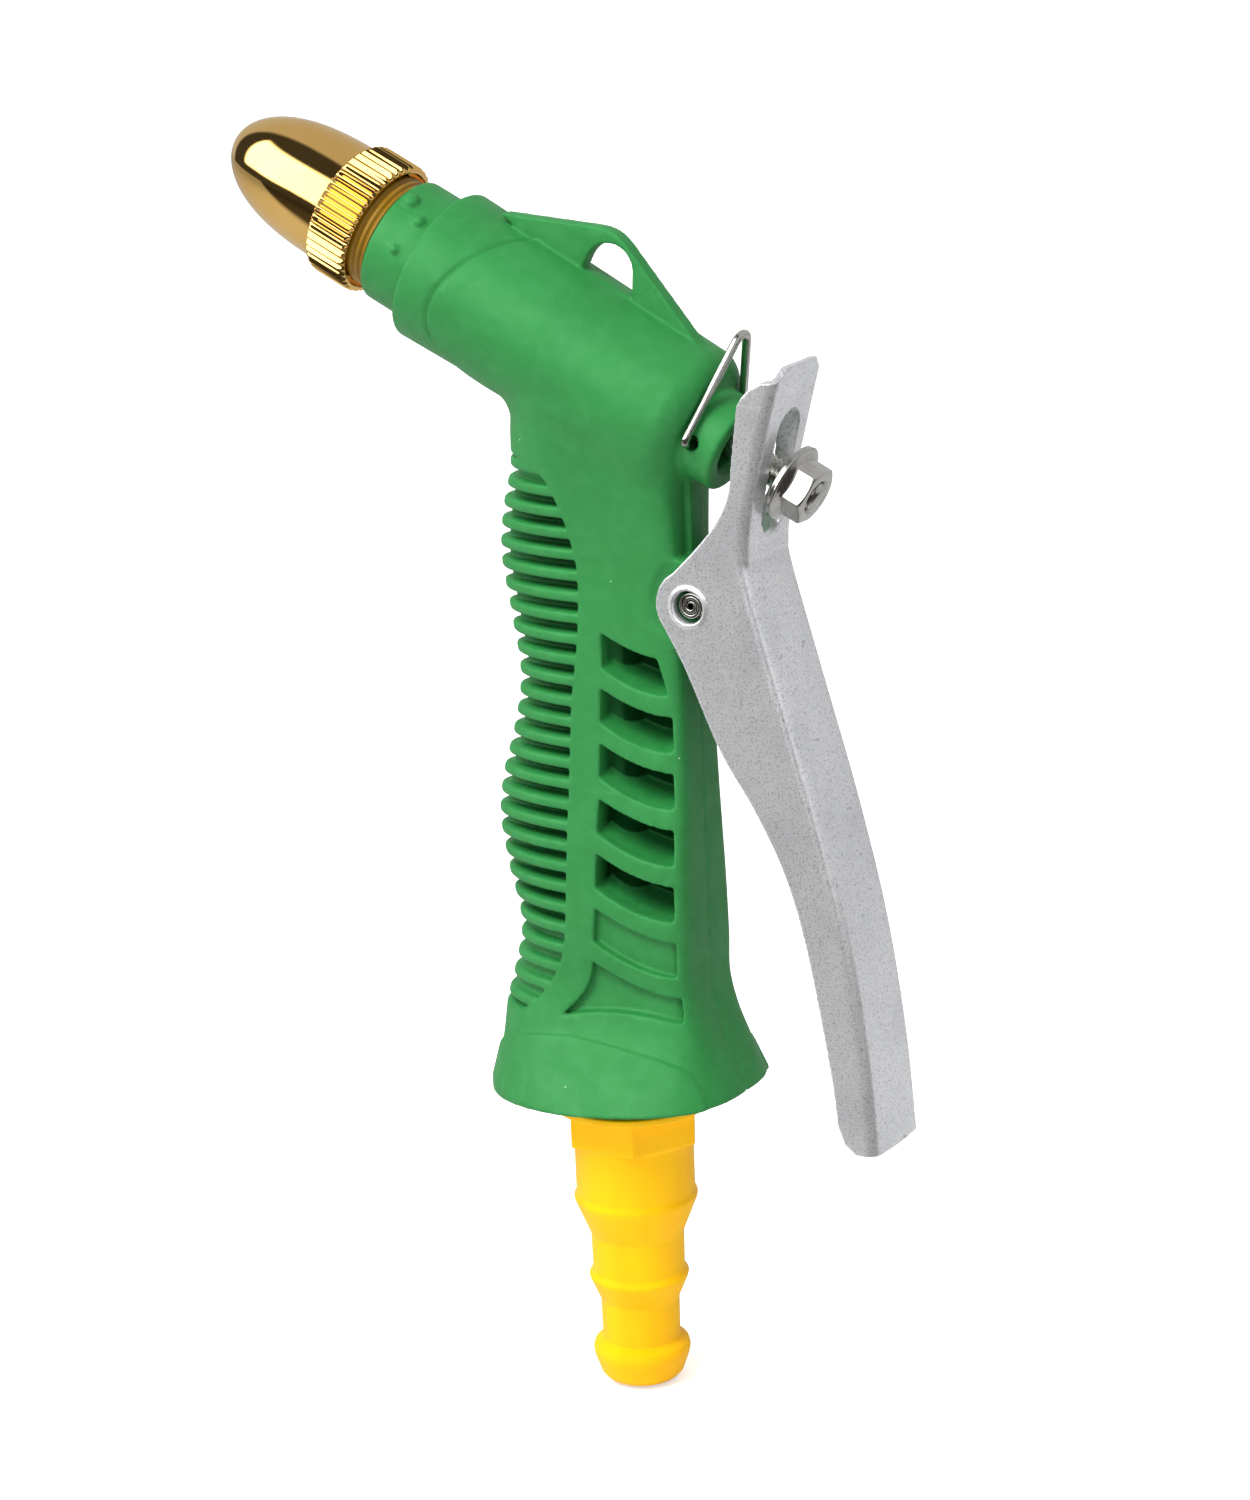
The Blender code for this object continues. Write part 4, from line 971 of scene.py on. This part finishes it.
def zinc_steel():
    shade = Shade("zinc_plated_sheet", (0.84, 0.85, 0.87), 0.3, 0.76)
    shade.tint(shade.noise(9.0, 3.0, 0.4, 0.7), (0.70, 0.71, 0.74), 0.6)
    shade.tint(shade.noise(0.34, 4.0, 0.5, 0.66), (0.42, 0.42, 0.46), 0.65)
    shade.tint(shade.noise(0.2, 3.0, 0.55, 0.68), (1.0, 1.0, 1.0), 0.7)
    shade.tint(shade.noise(0.0, 2.0, 0.66, 0.73, sizes=(2.6, 2.6, 0.16)), (1.0, 1.0, 1.0), 0.8)
    shade.tint(shade.noise(0.0, 2.0, 0.69, 0.74, sizes=(0.3, 3.0, 2.2)), (0.35, 0.35, 0.37), 0.5)
    shade.roughen(shade.noise(0.8, 4.0, 0.4, 0.65), 0.05)
    shade.emboss(shade.noise(0.5, 5.0, 0.3, 0.7), 0.008)
    return shade.done()


def bright_steel():
    shade = Shade("bright_steel_plated", (0.55, 0.54, 0.51), 0.2, 1.0)
    shade.tint(shade.noise(1.4, 4.0, 0.45, 0.7), (0.42, 0.41, 0.39), 0.5)
    shade.roughen(shade.noise(0.7, 4.0, 0.4, 0.65), 0.06)
    shade.emboss(shade.noise(0.9, 3.0, 0.35, 0.7), 0.006)
    return shade.done()


def brass():
    shade = Shade("brass_turned", (0.70, 0.47, 0.17), 0.24, 1.0)
    shade.tint(shade.noise(0.0, 3.0, 0.4, 0.7, sizes=(3.0, 3.0, 0.2)), (0.55, 0.35, 0.12), 0.5)
    shade.roughen(shade.noise(0.8, 4.0, 0.4, 0.65), 0.12)
    return shade.done()


def black_rubber():
    shade = Shade("black_rubber_matt", (0.018, 0.018, 0.018), 0.62)
    shade.tint(shade.noise(0.8, 4.0, 0.45, 0.7), (0.04, 0.04, 0.04), 0.7)
    shade.emboss(shade.noise(0.3, 3.0, 0.3, 0.7), 0.01)
    return shade.done()


def white_plastic():
    shade = Shade("white_plastic_natural", (0.74, 0.73, 0.68), 0.42)
    shade.tint(shade.noise(3.0, 3.0, 0.4, 0.7), (0.66, 0.64, 0.57), 0.6)
    shade.emboss(shade.noise(0.4, 2.0, 0.3, 0.7), 0.006)
    return shade.done()


# ---------------------------------------------------------------- floor, light and camera


def horizontal(azimuth):
    """The level direction at an azimuth in degrees, 0 being -Y and 90 being +X."""
    az = math.radians(azimuth)
    return (math.sin(az), -math.cos(az), 0.0)


def direction(azimuth, elevation):
    """The direction at an azimuth and an elevation in degrees."""
    el = math.radians(elevation)
    x, y, _ = horizontal(azimuth)
    return (x * math.cos(el), y * math.cos(el), math.sin(el))


def make_floor():
    """A white round floor. In reflections it is greyer, and its front part is dark, as the room is there."""
    steps = 96
    angles = 2 * np.pi * np.arange(steps) / steps
    points = [(FLOOR_RADIUS * math.cos(a), FLOOR_RADIUS * math.sin(a), FLOOR_Z) for a in angles]
    mesh = bpy.data.meshes.new("floor")
    mesh.from_pydata(points, [], [tuple(range(steps))])
    floor = bpy.data.objects.new("floor", mesh)
    bpy.context.scene.collection.objects.link(floor)
    shade = Shade("floor_white", (0.9, 0.9, 0.9), 0.85, Specular_IOR_Level=0.0)
    tree = shade.tree
    ahead = smooth_step(tree, along(tree, shade.place, horizontal(CAMERA_AZIMUTH)), 0.0, 0.12)
    glossy = add_node(tree, "ShaderNodeLightPath").outputs["Is Glossy Ray"]
    shade.tint(glossy, (0.5, 0.5, 0.5))
    shade.tint(math_node(tree, "MULTIPLY", ahead, glossy), (0.05, 0.045, 0.04))
    seen = add_node(tree, "ShaderNodeLightPath").outputs["Is Camera Ray"]
    tree.links.new(math_node(tree, "MULTIPLY", seen, 0.5), shade.shader.inputs["Emission Strength"])
    shade.shader.inputs["Emission Color"].default_value = (1.0, 1.0, 1.0, 1.0)
    floor.data.materials.append(shade.done())


def add_key_light():
    """A soft square light from above, aimed at the middle of the object. Plating doesn't mirror it."""
    middle = Vector((0.002, 0.0, 0.1))
    way = Vector(direction(KEY_AZIMUTH, KEY_ELEVATION))
    light = bpy.data.lights.new("key", "AREA")
    light.shape = "RECTANGLE"
    light.size = light.size_y = KEY_SIZE
    light.energy = KEY_POWER
    lamp = bpy.data.objects.new("key", light)
    lamp.location = middle + way * KEY_DISTANCE
    lamp.rotation_euler = way.to_track_quat("Z", "Y").to_euler()
    lamp.visible_glossy = False
    bpy.context.scene.collection.objects.link(lamp)


def smooth_step(tree, value, start, end, low=0.0, high=1.0):
    inputs = {"Value": value, "From Min": start, "From Max": end, "To Min": low, "To Max": high}
    return add_node(tree, "ShaderNodeMapRange", inputs, interpolation_type="SMOOTHSTEP").outputs[0]


def math_node(tree, operation, *values):
    return add_node(tree, "ShaderNodeMath", dict(enumerate(values)), operation=operation).outputs[0]


def along(tree, vector, way):
    """How far the vector reaches in a fixed direction."""
    made = add_node(tree, "ShaderNodeVectorMath", {0: vector, 1: way}, operation="DOT_PRODUCT")
    return made.outputs["Value"]


def band(tree, value, low, high, soft):
    """1 between low and high, 0 outside, with soft edges."""
    rising = smooth_step(tree, value, low - soft, low + soft)
    falling = smooth_step(tree, value, high + soft, high - soft)
    return math_node(tree, "MULTIPLY", rising, falling)


def mirror_room(tree, way):
    """What shiny plating sees: a pale surround, a dark room in front, and bright windows."""
    axes = add_node(tree, "ShaderNodeSeparateXYZ", {0: way})
    rise = axes.outputs["Z"]
    front = math_node(tree, "MULTIPLY", axes.outputs["Y"], -1.0)
    turn = math_node(tree, "ARCTAN2", axes.outputs["X"], front)
    facing = along(tree, way, horizontal(ROOM_AZIMUTH))
    level = smooth_step(tree, facing, 0.02, 0.14, 0.62, 0.06)
    for left, right, low, high, power in ROOM_LIGHTS:
        across = band(tree, turn, left, right, 0.06)
        above = band(tree, rise, low, high, 0.04)
        light = math_node(tree, "MULTIPLY", across, above)
        level = math_node(tree, "MULTIPLY_ADD", light, power, level)
    return level


def make_world():
    """White to the camera, a soft light for matt surfaces and a studio room for shiny ones."""
    world = bpy.data.worlds.new("studio")
    bpy.context.scene.world = world
    world.use_nodes = True
    tree = world.node_tree
    background = tree.nodes["Background"]
    way = add_node(tree, "ShaderNodeTexCoord").outputs["Generated"]
    facing = along(tree, way, direction(-45.0, 50.0))
    soft = smooth_step(tree, facing, -0.7, 0.7, 0.12, 0.95)
    path = add_node(tree, "ShaderNodeLightPath")
    inputs = {"Fac": path.outputs["Is Glossy Ray"], "Color1": soft, "Color2": mirror_room(tree, way)}
    colour = add_node(tree, "ShaderNodeMixRGB", inputs).outputs[0]
    inputs = {"Fac": path.outputs["Is Camera Ray"], "Color1": colour, "Color2": (1.0, 1.0, 1.0, 1.0)}
    colour = add_node(tree, "ShaderNodeMixRGB", inputs).outputs[0]
    tree.links.new(colour, background.inputs["Color"])


def make_camera():
    roll = math.radians(CAMERA_ROLL)
    back = Vector(direction(CAMERA_AZIMUTH, CAMERA_ELEVATION))
    right = Vector(horizontal(CAMERA_AZIMUTH + 90.0))
    up = back.cross(right)
    turned_right = right * math.cos(roll) - up * math.sin(roll)
    turned_up = right * math.sin(roll) + up * math.cos(roll)
    data = bpy.data.cameras.new("camera")
    data.sensor_width = SENSOR
    data.lens = LENS
    data.clip_start, data.clip_end = 0.01, 50.0
    camera = bpy.data.objects.new("camera", data)
    bpy.context.scene.collection.objects.link(camera)
    place = (Vector(CAMERA_TARGET) + back * CAMERA_DISTANCE) * MM
    turn = Matrix((turned_right, turned_up, back)).transposed().to_4x4()
    camera.matrix_world = Matrix.Translation(place) @ turn
    bpy.context.scene.camera = camera


def make_studio():
    make_camera()
    make_floor()
    make_world()
    add_key_light()
    view = bpy.context.scene.view_settings
    view.view_transform = "Standard"
    view.look = "None"


# ---------------------------------------------------------------- assembly


def place_piece(obj, node, body, shade):
    obj.data.materials.clear()
    obj.data.materials.append(shade)
    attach(obj, body)
    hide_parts(node)


def main():
    make_studio()
    shades = {
        "green_plastic": green_plastic(),
        "yellow_plastic": yellow_plastic(),
        "gold_plate": gold_plate(),
        "amber_plastic": amber_plastic(),
        "zinc_steel": zinc_steel(),
        "bright_steel": bright_steel(),
        "brass": brass(),
        "black_rubber": black_rubber(),
        "white_plastic": white_plastic(),
    }
    pieces = (
        (make_body, "body", "housing", "green_plastic"),
        (make_spigot, "nozzle_spigot", "housing", "amber_plastic"),
        (make_nozzle_head, "nozzle_head", "tip", "gold_plate"),
        (make_stem, "valve_stem", "rod", "bright_steel"),
        (make_flange_nut, "flange_nut", "rod", "bright_steel"),
        (make_return_spring, "return_spring", "housing", "bright_steel"),
        (make_bail, "lock_bail", "bail", "bright_steel"),
        (make_pivot_pin, "pivot_pin", "housing", "bright_steel"),
        (make_lever, "lever", "lever", "zinc_steel"),
        (make_hose_tail, "hose_tail", "housing", "yellow_plastic"),
    )
    replaced = set()
    for make, node, body, slot in pieces:
        piece = make()
        place_piece(piece, node, body, shades[slot])
        replaced.add(node)
        if node == "return_spring":
            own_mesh(piece)
    slots = {part["node"]: part["material_slot"] for part in frame["record"]["subparts"]}
    for name, node in frame["nodes"].items():
        if name not in replaced:
            node.data.materials.clear()
            node.data.materials.append(shades[slots[name]])


main()
